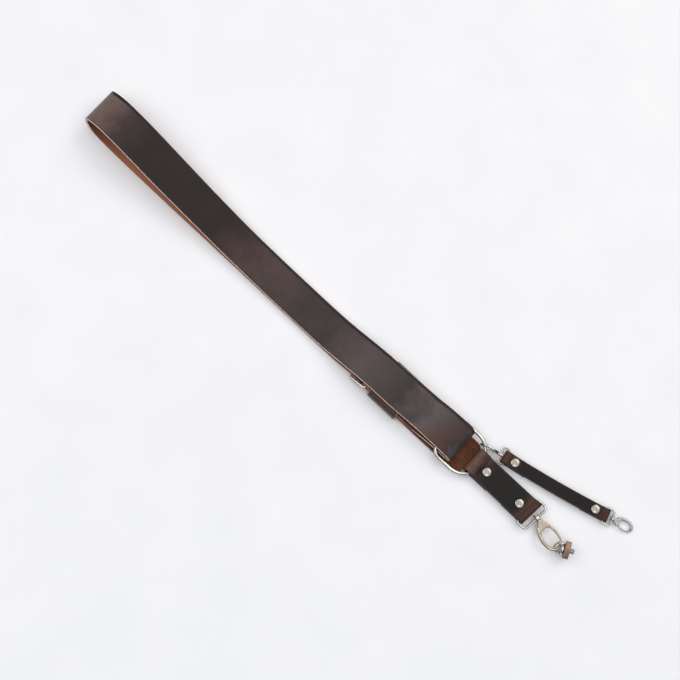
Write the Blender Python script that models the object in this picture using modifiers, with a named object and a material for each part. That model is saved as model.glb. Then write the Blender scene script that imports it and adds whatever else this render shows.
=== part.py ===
"""A leather shoulder strap for a camera, folded double and lying on a table.

Lengths are in millimetres and are scaled to metres where a mesh is made.
X runs along the strap, from the open end of its loop to the hooks, Y across it, and Z up.
"""
import math

import bmesh
import bpy
from mathutils import Vector

MM = 0.001

# The point under the middle of the lying strap, which becomes the origin
CENTRE_X = 333.82
CENTRE_Y = 20.93

# Main strap: a band of stiff leather, wider where it lies on the shoulder
STRAP_THICKNESS = 2.8
STRAP_WIDTH = 37.5
SHOULDER_WIDTH = 39.6
FOLD_WIDTH = 37.3
LEG_ON_TABLE = STRAP_THICKNESS / 2
LOOP_SKEW = -3.4
FOLD_CENTRE = (491.2, 9.1)
FOLD_RADIUS = 4.1
FOLD_Y = 3.0
FOLD_TOP_WIDTH = 39.1
FOLD_TOP_Y = 3.9
HOLE_SPACING = 25.0
HOLE_RADIUS = 2.1
HOLES_BEFORE_PRONG = 3
HOLES_AFTER_PRONG = 3

# Buckle
BUCKLE_WIRE = 1.3
BUCKLE_FAR_BAR = (372.6, 4.1)
BUCKLE_HEEL_BAR = (389.8, 9.5)
BUCKLE_HALF_WIDTH = 20.45
BUCKLE_CORNER = 1.7
HEEL_WRAP_RADIUS = 3.15
PRONG_WIRE = 0.9
PRONG_LOOP_RADIUS = 2.5
PRONG_LOOP_TURN = 250.0
PRONG_TIP = (371.0, 1.05)
PRONG_HOLE_X = 383.2
PRONG_HOLE_LENGTH = 10.2

# Keeper
KEEPER_START = 396.0
KEEPER_LENGTH = 35.0
KEEPER_WALL = 2.0
KEEPER_WIDTH = 44.2
KEEPER_HEIGHT = 13.8
KEEPER_CORNER = 3.4

# D-ring
RING_WIRE = 1.8
RING_BAR = (478.3, 9.0)
RING_BOTTOM = (519.5, 5.0)
RING_Y = 1.65
RING_HALF_WIDTH = 21.9
RING_BAR_CORNER = 7.7
RING_ROUND_LENGTH = 22.0
RING_SQUARENESS = 2.5
RING_YAW = 1.5

# Connector strap, riveted round the ring and the large eye
CONNECTOR_THICKNESS = 2.6
CONNECTOR_WIDTH = 26.6
CONNECTOR_Y = 2.4
CONNECTOR_RIVETS = ((530.0, 2.1, 5.6), (572.2, 1.5, 5.5))
CONNECTOR_NEAR_FOLD = (516.1, 5.2)
CONNECTOR_NEAR_RADIUS = 3.65
CONNECTOR_FAR_FOLD = (583.7, 4.5)
CONNECTOR_FAR_RADIUS = 3.15
CONNECTOR_FAR_SKEW = 2.4

# Safety strap, a narrow strap that lies on a flat curve
SAFETY_THICKNESS = 2.4
SAFETY_WIDTH = 13.1
SAFETY_START = (534.7, 26.1)
SAFETY_START_ANGLE = 10.8
SAFETY_END_ANGLE = 16.4
SAFETY_LENGTH = 108.2
SAFETY_FOLD_WIDTH = 12.5
SAFETY_NEAR_FOLD_Z = 4.86
SAFETY_FAR_FOLD_Z = 3.8
SAFETY_FOLD_RADIUS = 2.55
SAFETY_RIVETS = (9.4, 97.2)

# Rivets
RIVET_CAP_RADIUS = 4.65
RIVET_CAP_HEIGHT = 1.7
RIVET_SHANK_RADIUS = 1.6
RIVET_HOLE_RADIUS = 2.1
RIVET_BACK_RADIUS = 4.3
RIVET_BACK_HEIGHT = 0.9
GAP = 0.3

# Snap hooks, drawn at the large hook's size: x runs out of the swivel, y across the hook
HOOK_ARM = (
    # x, y, radius of the bar
    (8.0, -4.2, 1.9),
    (13.0, -6.7, 1.9),
    (18.5, -8.0, 1.8),
    (24.0, -7.9, 1.7),
    (29.3, -6.3, 1.6),
    (32.8, -3.0, 1.5),
    (33.6, 0.9, 1.45),
    (32.0, 4.3, 1.4),
    (29.3, 6.8, 1.3),
)
HOOK_HEAD = (
    # x, y of the flat head's outline
    (3.0, -1.9),
    (6.0, -3.6),
    (10.0, -5.6),
    (13.4, -6.8),
    (12.7, -3.4),
    (11.9, -0.8),
    (11.6, 1.8),
    (12.4, 4.0),
    (13.7, 6.3),
    (9.8, 6.3),
    (6.0, 4.2),
    (3.0, 2.0),
)
HOOK_HEAD_THICKNESS = 4.6
HOOK_FORK_GAP = 3.1
HOOK_FORK_RADIUS = 3.5
GATE_PIVOT = (11.4, 4.7)
GATE_PIN_RADIUS = 0.75
GATE_ROOT_RADIUS = 2.0
GATE_ARM = (
    # x, y, radius of the bar
    (11.4, 4.7, 1.05),
    (15.0, 6.8, 1.15),
    (19.5, 7.9, 1.15),
    (23.8, 8.1, 1.1),
    (27.0, 7.8, 1.0),
)
POST_RADIUS = 1.5
POST_HEAD_RADIUS = 2.6
POST_HEAD_START = -3.8
POST_HEAD_END = -2.1
COLLAR_RADIUS = 2.4
COLLAR_START = 2.2
COLLAR_END = 4.0
BOSS_RADIUS = 3.1
BOSS_LENGTH = 3.2
BOSS_HOLE_RADIUS = 2.1

# The large snap at the end of the connector
LARGE_SWIVEL = (593.8, 3.3, 5.3)
LARGE_HOOK_YAW = -15.5
LARGE_EYE_YAW = -5.5
LARGE_PITCH = 4.0
LARGE_EYE_DEPTH = 10.2
LARGE_EYE_HALF_WIDTH = 15.2
LARGE_EYE_SHIFT = -1.8
LARGE_EYE_WIRE = 1.25
LARGE_EYE_CORNERS = (4.4, 2.6)

# The two small snaps of the safety strap
SMALL_SCALE = 0.62
SMALL_SWELL = 1.2
SMALL_EYE_HALF_WIDTH = 7.9
SMALL_EYE_WIRE = 0.95
SMALL_EYE_CORNERS = (2.6, 1.5)
UPPER_SWIVEL = (528.3, 24.2, 6.6)
UPPER_YAW = 194.5
UPPER_EYE_YAW = 191.0
UPPER_ROLL = -90.0
UPPER_EYE_DEPTH = 6.6
UPPER_EYE_SHIFT = -0.75
UPPER_EYE_PITCH = 14.0
LOWER_SWIVEL = (647.5, 53.7, 3.2)
LOWER_YAW = 16.4
LOWER_PITCH = -3.5
LOWER_EYE_DEPTH = 7.9

# The camera screw, standing on the rim of its leather washer
SCREW_YAW = 25.0
SCREW_ROLL = -30.0
SCREW_PITCH = 13.0
WASHER_RADIUS = 8.4
WASHER_THICKNESS = 5.3
WASHER_HOLE_RADIUS = 3.1
SCREW_CENTRE = (629.7, -2.2, 7.92)
FLANGE_RADIUS = 6.2
FLANGE_THICKNESS = 2.4
STUD_RADIUS = 2.7
STUD_END = 11.0
BAIL_WIRE = 0.85
BAIL_FOOT = 7.4
BAIL_LEG = 3.0
BAIL_REACH = 8.0
SOCKET_RADIUS = 1.35
SOCKET_DEPTH = 1.5


def metres(*values):
    """A point or a direction in metres from its millimetres."""
    return Vector(values) * MM


def clear_scene():
    for obj in list(bpy.data.objects):
        bpy.data.objects.remove(obj)


def new_collection(name):
    group = bpy.data.collections.new(name)
    bpy.context.scene.collection.children.link(group)
    return group


def material(name, colour, roughness, metallic=0.0):
    mat = bpy.data.materials.new(name)
    mat.use_nodes = True
    shader = mat.node_tree.nodes["Principled BSDF"]
    shader.inputs["Base Color"].default_value = (*colour, 1.0)
    shader.inputs["Roughness"].default_value = roughness
    shader.inputs["Metallic"].default_value = metallic
    return mat


def frame(name, place, yaw=0.0, pitch=0.0, roll=0.0, parent=None):
    """An empty that carries pieces; pitch lifts its +X end."""
    empty = bpy.data.objects.new(name, None)
    empty.location = metres(*place)
    empty.rotation_euler = (math.radians(roll), math.radians(-pitch), math.radians(yaw))
    empty.parent = parent
    parts.objects.link(empty)
    return empty


def add_piece(name, data, mat, parent, group=None):
    obj = bpy.data.objects.new(name, data)
    obj.parent = parent
    (group or parts).objects.link(obj)
    if mat:
        data.materials.append(mat)
    return obj


def smooth(rows, spacing):
    """Rows on a smooth curve through the given rows, at most spacing apart."""
    rows = [Vector(row) for row in rows]
    out = [rows[0]]
    for i in range(len(rows) - 1):
        before = rows[max(i - 1, 0)]
        start, end = rows[i], rows[i + 1]
        after = rows[min(i + 2, len(rows) - 1)]
        reach = (end - start).length
        in_slope = (end - before) * reach / max((end - start).length + (start - before).length, 1e-6)
        out_slope = (after - start) * reach / max((end - start).length + (after - end).length, 1e-6)
        steps = max(1, math.ceil(reach / spacing))
        for k in range(1, steps + 1):
            t = k / steps
            out.append(
                start * (2 * t**3 - 3 * t**2 + 1)
                + in_slope * (t**3 - 2 * t**2 + t)
                + end * (3 * t**2 - 2 * t**3)
                + out_slope * (t**3 - t**2)
            )
    return out


def ribbon(name, edges, thickness, mat, parent):
    """A leather band between a left and a right edge, with half its thickness on each side."""
    bm = bmesh.new()
    left = [bm.verts.new(metres(*pair[0])) for pair in edges]
    chain = [bm.edges.new((left[i], left[i + 1])) for i in range(len(left) - 1)]
    twin = bmesh.ops.extrude_edge_only(bm, edges=chain)
    bm.verts.ensure_lookup_table()
    made = [item for item in twin["geom"] if isinstance(item, bmesh.types.BMVert)]
    for i, start in enumerate(left):
        partner = min(made, key=lambda v: (v.co - start.co).length)
        made.remove(partner)
        partner.co = metres(*edges[i][1])
    bmesh.ops.recalc_face_normals(bm, faces=bm.faces)
    mesh = bpy.data.meshes.new(name)
    bm.to_mesh(mesh)
    bm.free()
    obj = add_piece(name, mesh, mat, parent)
    wall = obj.modifiers.new("thickness", "SOLIDIFY")
    wall.thickness = thickness * MM
    wall.offset = 0.0
    wall.use_even_offset = True
    return obj


def band_edges(rows):
    """Left and right edge points of a band from rows of x, z, y, width and skew."""
    edges = []
    for x, z, y, width, skew in rows:
        edges.append(((x - skew / 2, y - width / 2, z), (x + skew / 2, y + width / 2, z)))
    return edges


def bend(centre, radius, start, end, steps, first, last):
    """Rows round a fold, from its first to its last y, width and skew."""
    rows = []
    for i in range(steps + 1):
        t = i / steps
        angle = math.radians(start + (end - start) * t)
        rest = [a + (b - a) * t for a, b in zip(first, last)]
        rows.append((centre[0] + radius * math.cos(angle), centre[1] + radius * math.sin(angle), *rest))
    return rows


def wire(name, points, radius, mat, parent, closed=False, sides=8, radii=None, group=None):
    """A round bar along points; radii scale it from point to point."""
    curve = bpy.data.curves.new(name, "CURVE")
    curve.dimensions = "3D"
    curve.bevel_depth = radius * MM
    curve.bevel_resolution = (sides - 4) // 2
    curve.use_fill_caps = True
    line = curve.splines.new("POLY")
    line.points.add(len(points) - 1)
    for i, place in enumerate(points):
        line.points[i].co = (*metres(*place), 1.0)
        line.points[i].radius = radii[i] / radius if radii else 1.0
    line.use_cyclic_u = closed
    return add_piece(name, curve, mat, parent, group)


def slab(name, outlines, thickness, mat, parent, group=None):
    """A flat piece from closed outlines in its XY plane, half its thickness on each side."""
    curve = bpy.data.curves.new(name, "CURVE")
    curve.dimensions = "2D"
    curve.fill_mode = "BOTH"
    curve.extrude = thickness * MM / 2
    for outline in outlines:
        line = curve.splines.new("POLY")
        line.points.add(len(outline) - 1)
        for i, (x, y) in enumerate(outline):
            line.points[i].co = (x * MM, y * MM, 0.0, 1.0)
        line.use_cyclic_u = True
    return add_piece(name, curve, mat, parent, group)


def as_mesh(obj):
    """The same piece as a closed mesh, for cutting and joining."""
    name = obj.name
    bpy.context.view_layer.update()
    shape = obj.evaluated_get(bpy.context.evaluated_depsgraph_get())
    mesh = bpy.data.meshes.new_from_object(shape)
    bm = bmesh.new()
    bm.from_mesh(mesh)
    bmesh.ops.remove_doubles(bm, verts=bm.verts, dist=0.000001)
    bmesh.ops.recalc_face_normals(bm, faces=bm.faces)
    bm.to_mesh(mesh)
    bm.free()
    solid = bpy.data.objects.new(name + "_solid", mesh)
    obj.users_collection[0].objects.link(solid)
    solid.parent = obj.parent
    solid.matrix_world = obj.matrix_world
    bpy.data.objects.remove(obj)
    solid.name = name
    return solid


def turned(name, profile, sides, mat, parent, group=None):
    """A turned piece: profile rows of radius and height run from its top to its bottom, round Z."""
    bm = bmesh.new()
    line = [bm.verts.new(metres(radius, 0.0, height)) for radius, height in profile]
    for i in range(len(line) - 1):
        bm.edges.new((line[i], line[i + 1]))
    if profile[0][0] > 0.0:
        bm.edges.new((line[-1], line[0]))
    mesh = bpy.data.meshes.new(name)
    bm.to_mesh(mesh)
    bm.free()
    obj = add_piece(name, mesh, mat, parent, group)
    screw = obj.modifiers.new("turn", "SCREW")
    screw.steps = sides
    screw.render_steps = sides
    screw.use_merge_vertices = True
    screw.merge_threshold = 0.00001
    return obj


def rod(name, radius, start, end, parent, mat=None, sides=16, group=None):
    """A plain cylinder between two points."""
    start, end = Vector(start), Vector(end)
    bm = bmesh.new()
    bmesh.ops.create_cone(
        bm, cap_ends=True, segments=sides, radius1=radius * MM, radius2=radius * MM, depth=(end - start).length * MM
    )
    mesh = bpy.data.meshes.new(name)
    bm.to_mesh(mesh)
    bm.free()
    obj = add_piece(name, mesh, mat, parent, group)
    obj.location = (start + end) / 2 * MM
    obj.rotation_euler = (end - start).to_track_quat("Z", "Y").to_euler()
    return obj


def box_cutter(name, low, high, parent):
    bm = bmesh.new()
    bmesh.ops.create_cube(bm, size=1.0)
    size = Vector(high) - Vector(low)
    bmesh.ops.scale(bm, vec=size * MM, verts=bm.verts)
    mesh = bpy.data.meshes.new(name)
    bm.to_mesh(mesh)
    bm.free()
    obj = add_piece(name, mesh, None, parent, cutters)
    obj.location = (Vector(low) + Vector(high)) / 2 * MM
    return obj


def combine(obj, other, operation):
    step = obj.modifiers.new(operation.lower(), "BOOLEAN")
    step.operation = operation
    step.object = other
    step.solver = "EXACT"
    other.hide_render = True
    other.display_type = "WIRE"


def rounded_rectangle(width, height, corner, steps, back_corner=None):
    """A closed outline round its centre, with round corners; those at -X can have their own radius."""
    outline = []
    front = corner
    for turn, (sx, sy) in enumerate(((1, 1), (-1, 1), (-1, -1), (1, -1))):
        corner = back_corner if back_corner and sx < 0 else front
        for k in range(steps + 1):
            angle = math.radians(90 * turn + 90 * k / steps)
            outline.append(
                (
                    sx * (width / 2 - corner) + corner * math.cos(angle),
                    sy * (height / 2 - corner) + corner * math.sin(angle),
                )
            )
    return outline


def main_strap_rows():
    """Rows of x, z, y, width and skew along the band, from the tail end to the end sewn at the buckle."""
    table, wide, fold = LEG_ON_TABLE, SHOULDER_WIDTH, FOLD_WIDTH
    tail = (
        (511.4, table, 2.6, 20.0, 0.0),
        (511.2, table, 2.0, 26.0, 0.0),
        (510.6, table, 1.5, 30.4, 0.0),
        (509.3, table, 1.0, 33.8, 0.0),
        (507.2, table, 0.6, 36.0, 0.0),
        (503.8, table, 0.4, 37.0, 0.0),
        (497.5, table, 0.3, 37.3, 0.0),
        (488.0, table, 0.2, STRAP_WIDTH, 0.0),
        (470.0, table, 0.2, STRAP_WIDTH, 0.0),
        (456.0, table, 0.1, STRAP_WIDTH, 0.0),
        (451.5, table, 0.1, STRAP_WIDTH, 0.0),
    )
    through_keeper_and_buckle = (
        (444.0, 1.9, 0.0, STRAP_WIDTH, 0.0),
        (437.0, 3.0, 0.0, STRAP_WIDTH, 0.0),
        (431.0, 3.7, 0.0, STRAP_WIDTH, 0.0),
        (420.0, 3.7, 0.0, STRAP_WIDTH, 0.0),
        (404.0, 3.7, 0.0, STRAP_WIDTH, 0.0),
        (396.0, 3.7, 0.0, STRAP_WIDTH, 0.0),
        (389.8, 3.25, 0.0, STRAP_WIDTH, 0.0),
        (384.0, 4.3, 0.0, STRAP_WIDTH, 0.0),
        (379.0, 5.8, 0.0, STRAP_WIDTH, 0.0),
        (372.6, 7.2, 0.0, STRAP_WIDTH, 0.0),
        (366.0, 6.5, 0.0, STRAP_WIDTH, 0.0),
        (357.0, 4.0, 0.0, STRAP_WIDTH, 0.0),
        (348.0, 2.15, 0.0, STRAP_WIDTH, 0.0),
        (342.0, 1.6, 0.0, STRAP_WIDTH, 0.0),
        (336.0, 1.45, 0.0, STRAP_WIDTH, 0.0),
        (330.0, 1.41, 0.0, STRAP_WIDTH, 0.0),
    )
    lower_leg = (
        (320.0, table, 0.0, STRAP_WIDTH, 0.0),
        (250.0, table, 0.0, STRAP_WIDTH, 0.0),
        (185.0, table, 0.1, 38.0, 0.0),
        (125.0, table, 0.3, 38.9, 0.0),
        (85.0, table, 0.6, 39.4, 0.0),
        (55.0, table, 0.9, wide, 0.0),
        (33.0, 1.43, 1.3, wide, 0.0),
        (20.0, 1.45, 1.8, wide, 0.0),
    )
    loop = (
        (14.5, 1.6, 2.1, wide, 0.1 * LOOP_SKEW),
        (9.8, 2.4, 2.5, wide, 0.4 * LOOP_SKEW),
        (5.9, 4.3, 2.9, wide, 0.7 * LOOP_SKEW),
        (3.3, 7.0, 3.2, wide, 0.9 * LOOP_SKEW),
        (2.1, 10.0, 3.4, wide, LOOP_SKEW),
        (2.5, 13.4, 3.5, wide, LOOP_SKEW),
        (3.6, 17.0, 3.5, wide, 0.95 * LOOP_SKEW),
        (5.2, 20.1, 3.3, wide, 0.85 * LOOP_SKEW),
        (7.6, 22.9, 3.1, 39.8, 0.65 * LOOP_SKEW),
        (10.8, 25.3, 2.9, 39.9, 0.45 * LOOP_SKEW),
        (16.5, 28.2, 2.6, 40.0, 0.15 * LOOP_SKEW),
        (22.5, 29.9, 2.5, 40.0, 0.0),
    )
    top_leg = (
        (30.0, 30.9, 2.4, 40.0, 0.0),
        (47.0, 30.7, 2.0, 40.0, 0.0),
        (66.0, 29.3, 1.5, 40.0, 0.0),
        (86.0, 26.4, 1.0, 39.8, 0.0),
        (106.0, 22.7, 0.7, 39.6, 0.0),
        (128.0, 19.0, 0.5, 38.9, 0.0),
        (150.0, 15.3, 0.3, 38.4, 0.0),
        (172.0, 11.9, 0.2, 38.0, 0.0),
        (195.0, 8.9, 0.0, 37.7, 0.0),
        (220.0, 6.6, 0.0, STRAP_WIDTH, 0.0),
        (245.0, 5.2, 0.0, STRAP_WIDTH, 0.0),
        (270.0, 4.6, 0.0, STRAP_WIDTH, 0.0),
        (312.0, 4.6, 0.0, STRAP_WIDTH, 0.0),
        (332.0, 5.9, 0.0, STRAP_WIDTH, 0.0),
        (348.0, 8.6, 0.1, STRAP_WIDTH, 0.0),
        (362.0, 12.0, 0.2, STRAP_WIDTH, 0.0),
        (376.0, 14.9, 0.4, STRAP_WIDTH, 0.0),
        (390.0, 16.2, 0.6, STRAP_WIDTH, 0.0),
        (405.0, 16.2, 0.9, STRAP_WIDTH, 0.0),
        (420.0, 16.0, 1.3, 37.8, 0.0),
        (435.0, 15.5, 2.0, 37.5, 0.0),
        (450.0, 14.5, 2.8, 37.6, 0.0),
        (465.0, 13.9, 3.6, 38.5, 0.0),
        (479.0, 13.4, FOLD_TOP_Y, FOLD_TOP_WIDTH, 0.0),
    )
    top_of_fold, rest_of_fold = (FOLD_TOP_Y, FOLD_TOP_WIDTH, 0.0), (FOLD_Y, fold, 0.0)
    ring_fold = bend(FOLD_CENTRE, FOLD_RADIUS, 90.0, 0.0, 4, top_of_fold, rest_of_fold) + bend(
        FOLD_CENTRE, FOLD_RADIUS, -22.5, -90.0, 3, rest_of_fold, rest_of_fold
    )
    return_layer = (
        (478.0, 5.0, 2.8, fold, 0.0),
        (465.0, 5.1, 2.2, fold, 0.0),
        (452.0, 5.4, 1.4, 37.8, 0.0),
        (442.0, 6.1, 0.8, STRAP_WIDTH, 0.0),
        (435.0, 6.6, 0.4, STRAP_WIDTH, 0.0),
        (428.0, 6.8, 0.2, STRAP_WIDTH, 0.0),
        (415.0, 6.8, 0.0, STRAP_WIDTH, 0.0),
        (402.0, 6.8, 0.0, STRAP_WIDTH, 0.0),
        (395.5, 6.7, 0.0, STRAP_WIDTH, 0.0),
    )
    heel_wrap = bend(
        BUCKLE_HEEL_BAR, HEEL_WRAP_RADIUS, 270.0, 90.0, 8, (0.0, STRAP_WIDTH, 0.0), (0.0, STRAP_WIDTH, 0.0)
    )
    sewn_end = (
        (391.9, 11.8, 0.0, STRAP_WIDTH, 0.0),
        (393.9, 10.6, 0.0, STRAP_WIDTH, 0.0),
        (396.2, 10.0, 0.0, STRAP_WIDTH, 0.0),
        (400.0, 9.9, 0.0, STRAP_WIDTH, 0.0),
        (415.0, 9.9, 0.0, STRAP_WIDTH, 0.0),
        (430.0, 9.9, 0.1, STRAP_WIDTH, 0.0),
        (440.0, 9.3, 0.4, STRAP_WIDTH, 0.0),
    )
    return (
        tail + through_keeper_and_buckle + lower_leg + loop + top_leg
        + tuple(ring_fold) + return_layer + tuple(heel_wrap) + sewn_end
    )


def make_main_strap():
    rows = smooth(main_strap_rows(), 9.0)
    strap = ribbon("main_strap", band_edges(rows), STRAP_THICKNESS, dark_leather, root)
    first_pass = rows[: next(i for i, row in enumerate(rows) if row[0] < 200.0)]
    for n in range(-HOLES_BEFORE_PRONG, HOLES_AFTER_PRONG + 1):
        if n == 0:
            continue
        x = PRONG_HOLE_X + n * HOLE_SPACING
        height = min(first_pass, key=lambda row: abs(row[0] - x))[1]
        top = height + STRAP_THICKNESS / 2 + GAP / 2
        cutter = rod(f"hole_cutter_{n + 4}", HOLE_RADIUS, (x, 0.0, -2.0), (x, 0.0, top), root, sides=10, group=cutters)
        combine(strap, cutter, "DIFFERENCE")
    half = PRONG_HOLE_LENGTH / 2
    prong_hole = box_cutter("prong_hole_cutter", (PRONG_HOLE_X - half, -1.5, 2.4), (PRONG_HOLE_X + half, 1.5, 9.4), root)
    combine(strap, prong_hole, "DIFFERENCE")
    x, z = BUCKLE_HEEL_BAR
    reach = HEEL_WRAP_RADIUS + STRAP_THICKNESS / 2 + GAP
    slot = rod("prong_slot_cutter", reach, (x, -1.4, z), (x, 1.4, z), root, sides=24, group=cutters)
    combine(strap, slot, "DIFFERENCE")


def make_buckle():
    far_x, far_z = BUCKLE_FAR_BAR
    heel_x, heel_z = BUCKLE_HEEL_BAR
    length = math.hypot(heel_x - far_x, heel_z - far_z)
    slope = math.degrees(math.atan2(heel_z - far_z, heel_x - far_x))
    middle = ((far_x + heel_x) / 2, 0.0, (far_z + heel_z) / 2)
    carrier = frame("buckle_place", middle, pitch=slope, parent=root)
    outline = rounded_rectangle(length, 2 * BUCKLE_HALF_WIDTH, BUCKLE_CORNER, 3)
    wire("buckle_frame", [(x, y, 0.0) for x, y in outline], BUCKLE_WIRE, nickel, carrier, closed=True)

    to_tip = math.atan2(PRONG_TIP[1] - heel_z, PRONG_TIP[0] - heel_x)
    reach = math.hypot(PRONG_TIP[0] - heel_x, PRONG_TIP[1] - heel_z)
    leave = to_tip + math.acos(PRONG_LOOP_RADIUS / reach)
    points = []
    for k in range(17):
        angle = leave + math.radians(PRONG_LOOP_TURN * (1 - k / 16))
        points.append((heel_x + PRONG_LOOP_RADIUS * math.cos(angle), 0.0, heel_z + PRONG_LOOP_RADIUS * math.sin(angle)))
    last = points[-1]
    for t in (0.5, 1.0):
        points.append((last[0] + (PRONG_TIP[0] - last[0]) * t, 0.0, last[2] + (PRONG_TIP[1] - last[2]) * t))
    wire("buckle_prong", points, PRONG_WIRE, nickel, root, sides=8)


def make_keeper():
    outer = rounded_rectangle(KEEPER_WIDTH, KEEPER_HEIGHT, KEEPER_CORNER, 4)
    inner = rounded_rectangle(
        KEEPER_WIDTH - 2 * KEEPER_WALL, KEEPER_HEIGHT - 2 * KEEPER_WALL, KEEPER_CORNER - KEEPER_WALL, 4
    )
    keeper = slab("keeper", (outer, inner[::-1]), KEEPER_LENGTH, dark_leather, root)
    keeper.location = metres(KEEPER_START + KEEPER_LENGTH / 2, 0.0, KEEPER_HEIGHT / 2)
    keeper.rotation_euler = (math.radians(90), 0.0, math.radians(90))


def make_ring():
    """A straight bar with rounded corners, straight sides and a rounded end."""
    length = math.hypot(RING_BOTTOM[0] - RING_BAR[0], RING_BOTTOM[1] - RING_BAR[1])
    slope = math.degrees(math.asin((RING_BOTTOM[1] - RING_BAR[1]) / length))
    carrier = frame("ring_place", (RING_BAR[0], RING_Y, RING_BAR[1]), RING_YAW, slope, parent=root)
    half, corner = RING_HALF_WIDTH, RING_BAR_CORNER
    side_end = length - RING_ROUND_LENGTH
    plan = []
    for k in range(5):
        angle = math.radians(180 + 90 * k / 4)
        plan.append((corner + corner * math.cos(angle), -half + corner + corner * math.sin(angle)))
    power = 2 / RING_SQUARENESS
    for k in range(25):
        angle = math.radians(-90 + 180 * k / 24)
        x = side_end + RING_ROUND_LENGTH * abs(math.cos(angle)) ** power
        plan.append((x, half * math.copysign(abs(math.sin(angle)) ** power, math.sin(angle))))
    for k in range(5):
        angle = math.radians(90 + 90 * k / 4)
        plan.append((corner + corner * math.cos(angle), half - corner + corner * math.sin(angle)))
    wire("ring", [(x, y, 0.0) for x, y in plan], RING_WIRE, nickel, carrier, closed=True, sides=10)


def rivet(name, place, bottom, top, parent):
    """A two-part rivet pressed together: a flat back, its shank, and a domed cap."""
    cap = [
        (RIVET_CAP_RADIUS * math.sin(math.radians(a)), top + GAP + 0.35 + (RIVET_CAP_HEIGHT - 0.35) * math.cos(math.radians(a)))
        for a in (0, 30, 60, 90)
    ]
    back = bottom - GAP
    profile = cap + [
        (RIVET_CAP_RADIUS, top + GAP),
        (RIVET_SHANK_RADIUS, top + GAP),
        (RIVET_SHANK_RADIUS, back),
        (RIVET_BACK_RADIUS, back),
        (RIVET_BACK_RADIUS, back - RIVET_BACK_HEIGHT + 0.3),
        (RIVET_BACK_RADIUS - 0.4, back - RIVET_BACK_HEIGHT),
        (0.0, back - RIVET_BACK_HEIGHT),
    ]
    obj = turned(name, profile, 14, nickel, parent)
    obj.location = metres(place[0], place[1], 0.0)


def make_connector():
    width, y = CONNECTOR_WIDTH, CONNECTOR_Y
    plain = (y, width, 0.0)
    skewed = (y, width, CONNECTOR_FAR_SKEW)
    near = bend(CONNECTOR_NEAR_FOLD, CONNECTOR_NEAR_RADIUS, 270.0, 90.0, 8, plain, plain)
    far = bend(CONNECTOR_FAR_FOLD, CONNECTOR_FAR_RADIUS, 90.0, -90.0, 8, skewed, skewed)
    under_ring = ((541.0, 2.5, *plain), (530.0, 2.5, *plain), (524.5, 2.4, *plain), (520.0, 1.65, *plain))
    over = (
        (519.0, 8.7, *plain),
        (521.7, 7.7, *plain),
        (523.7, 6.4, *plain),
        (525.5, 5.75, *plain),
        (530.0, 5.6, *plain),
        (536.0, 5.5, *plain),
        (552.0, 5.4, *plain),
        (567.0, 5.45, *plain),
        (572.3, 5.5, *plain),
        (577.5, 5.5, y, width, 0.6),
        (580.0, 5.9, y, width, 1.4),
        (581.8, 6.8, y, width, 2.0),
    )
    under_eye = (
        (581.4, 1.5, y, width, 1.9),
        (579.4, 2.2, y, width, 1.2),
        (577.5, 2.5, y, width, 0.6),
        (572.3, 2.5, *plain),
        (561.0, 2.5, *plain),
    )
    rows = smooth(under_ring + tuple(near) + over + tuple(far) + under_eye, 6.0)
    strap = ribbon("connector_strap", band_edges(rows), CONNECTOR_THICKNESS, brown_leather, root)
    for name, (x, side, height) in zip(("near", "far"), CONNECTOR_RIVETS):
        low, high = (x, side, -1), (x, side, 11)
        cutter = rod(f"connector_{name}_cutter", RIVET_HOLE_RADIUS, low, high, root, sides=12, group=cutters)
        combine(strap, cutter, "DIFFERENCE")
        top = height + CONNECTOR_THICKNESS / 2
        rivet(f"connector_rivet_{name}", (x, side), 2.5 - CONNECTOR_THICKNESS / 2, top + 0.25, root)


def safety_place(along):
    """The plan point and heading of the safety strap's curve at a distance along it."""
    turn = math.radians(SAFETY_END_ANGLE - SAFETY_START_ANGLE)
    start = math.radians(SAFETY_START_ANGLE)
    radius = SAFETY_LENGTH / turn
    heading = start + along / radius
    x = SAFETY_START[0] + radius * (math.sin(heading) - math.sin(start))
    y = SAFETY_START[1] - radius * (math.cos(heading) - math.cos(start))
    return x, y, heading


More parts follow.
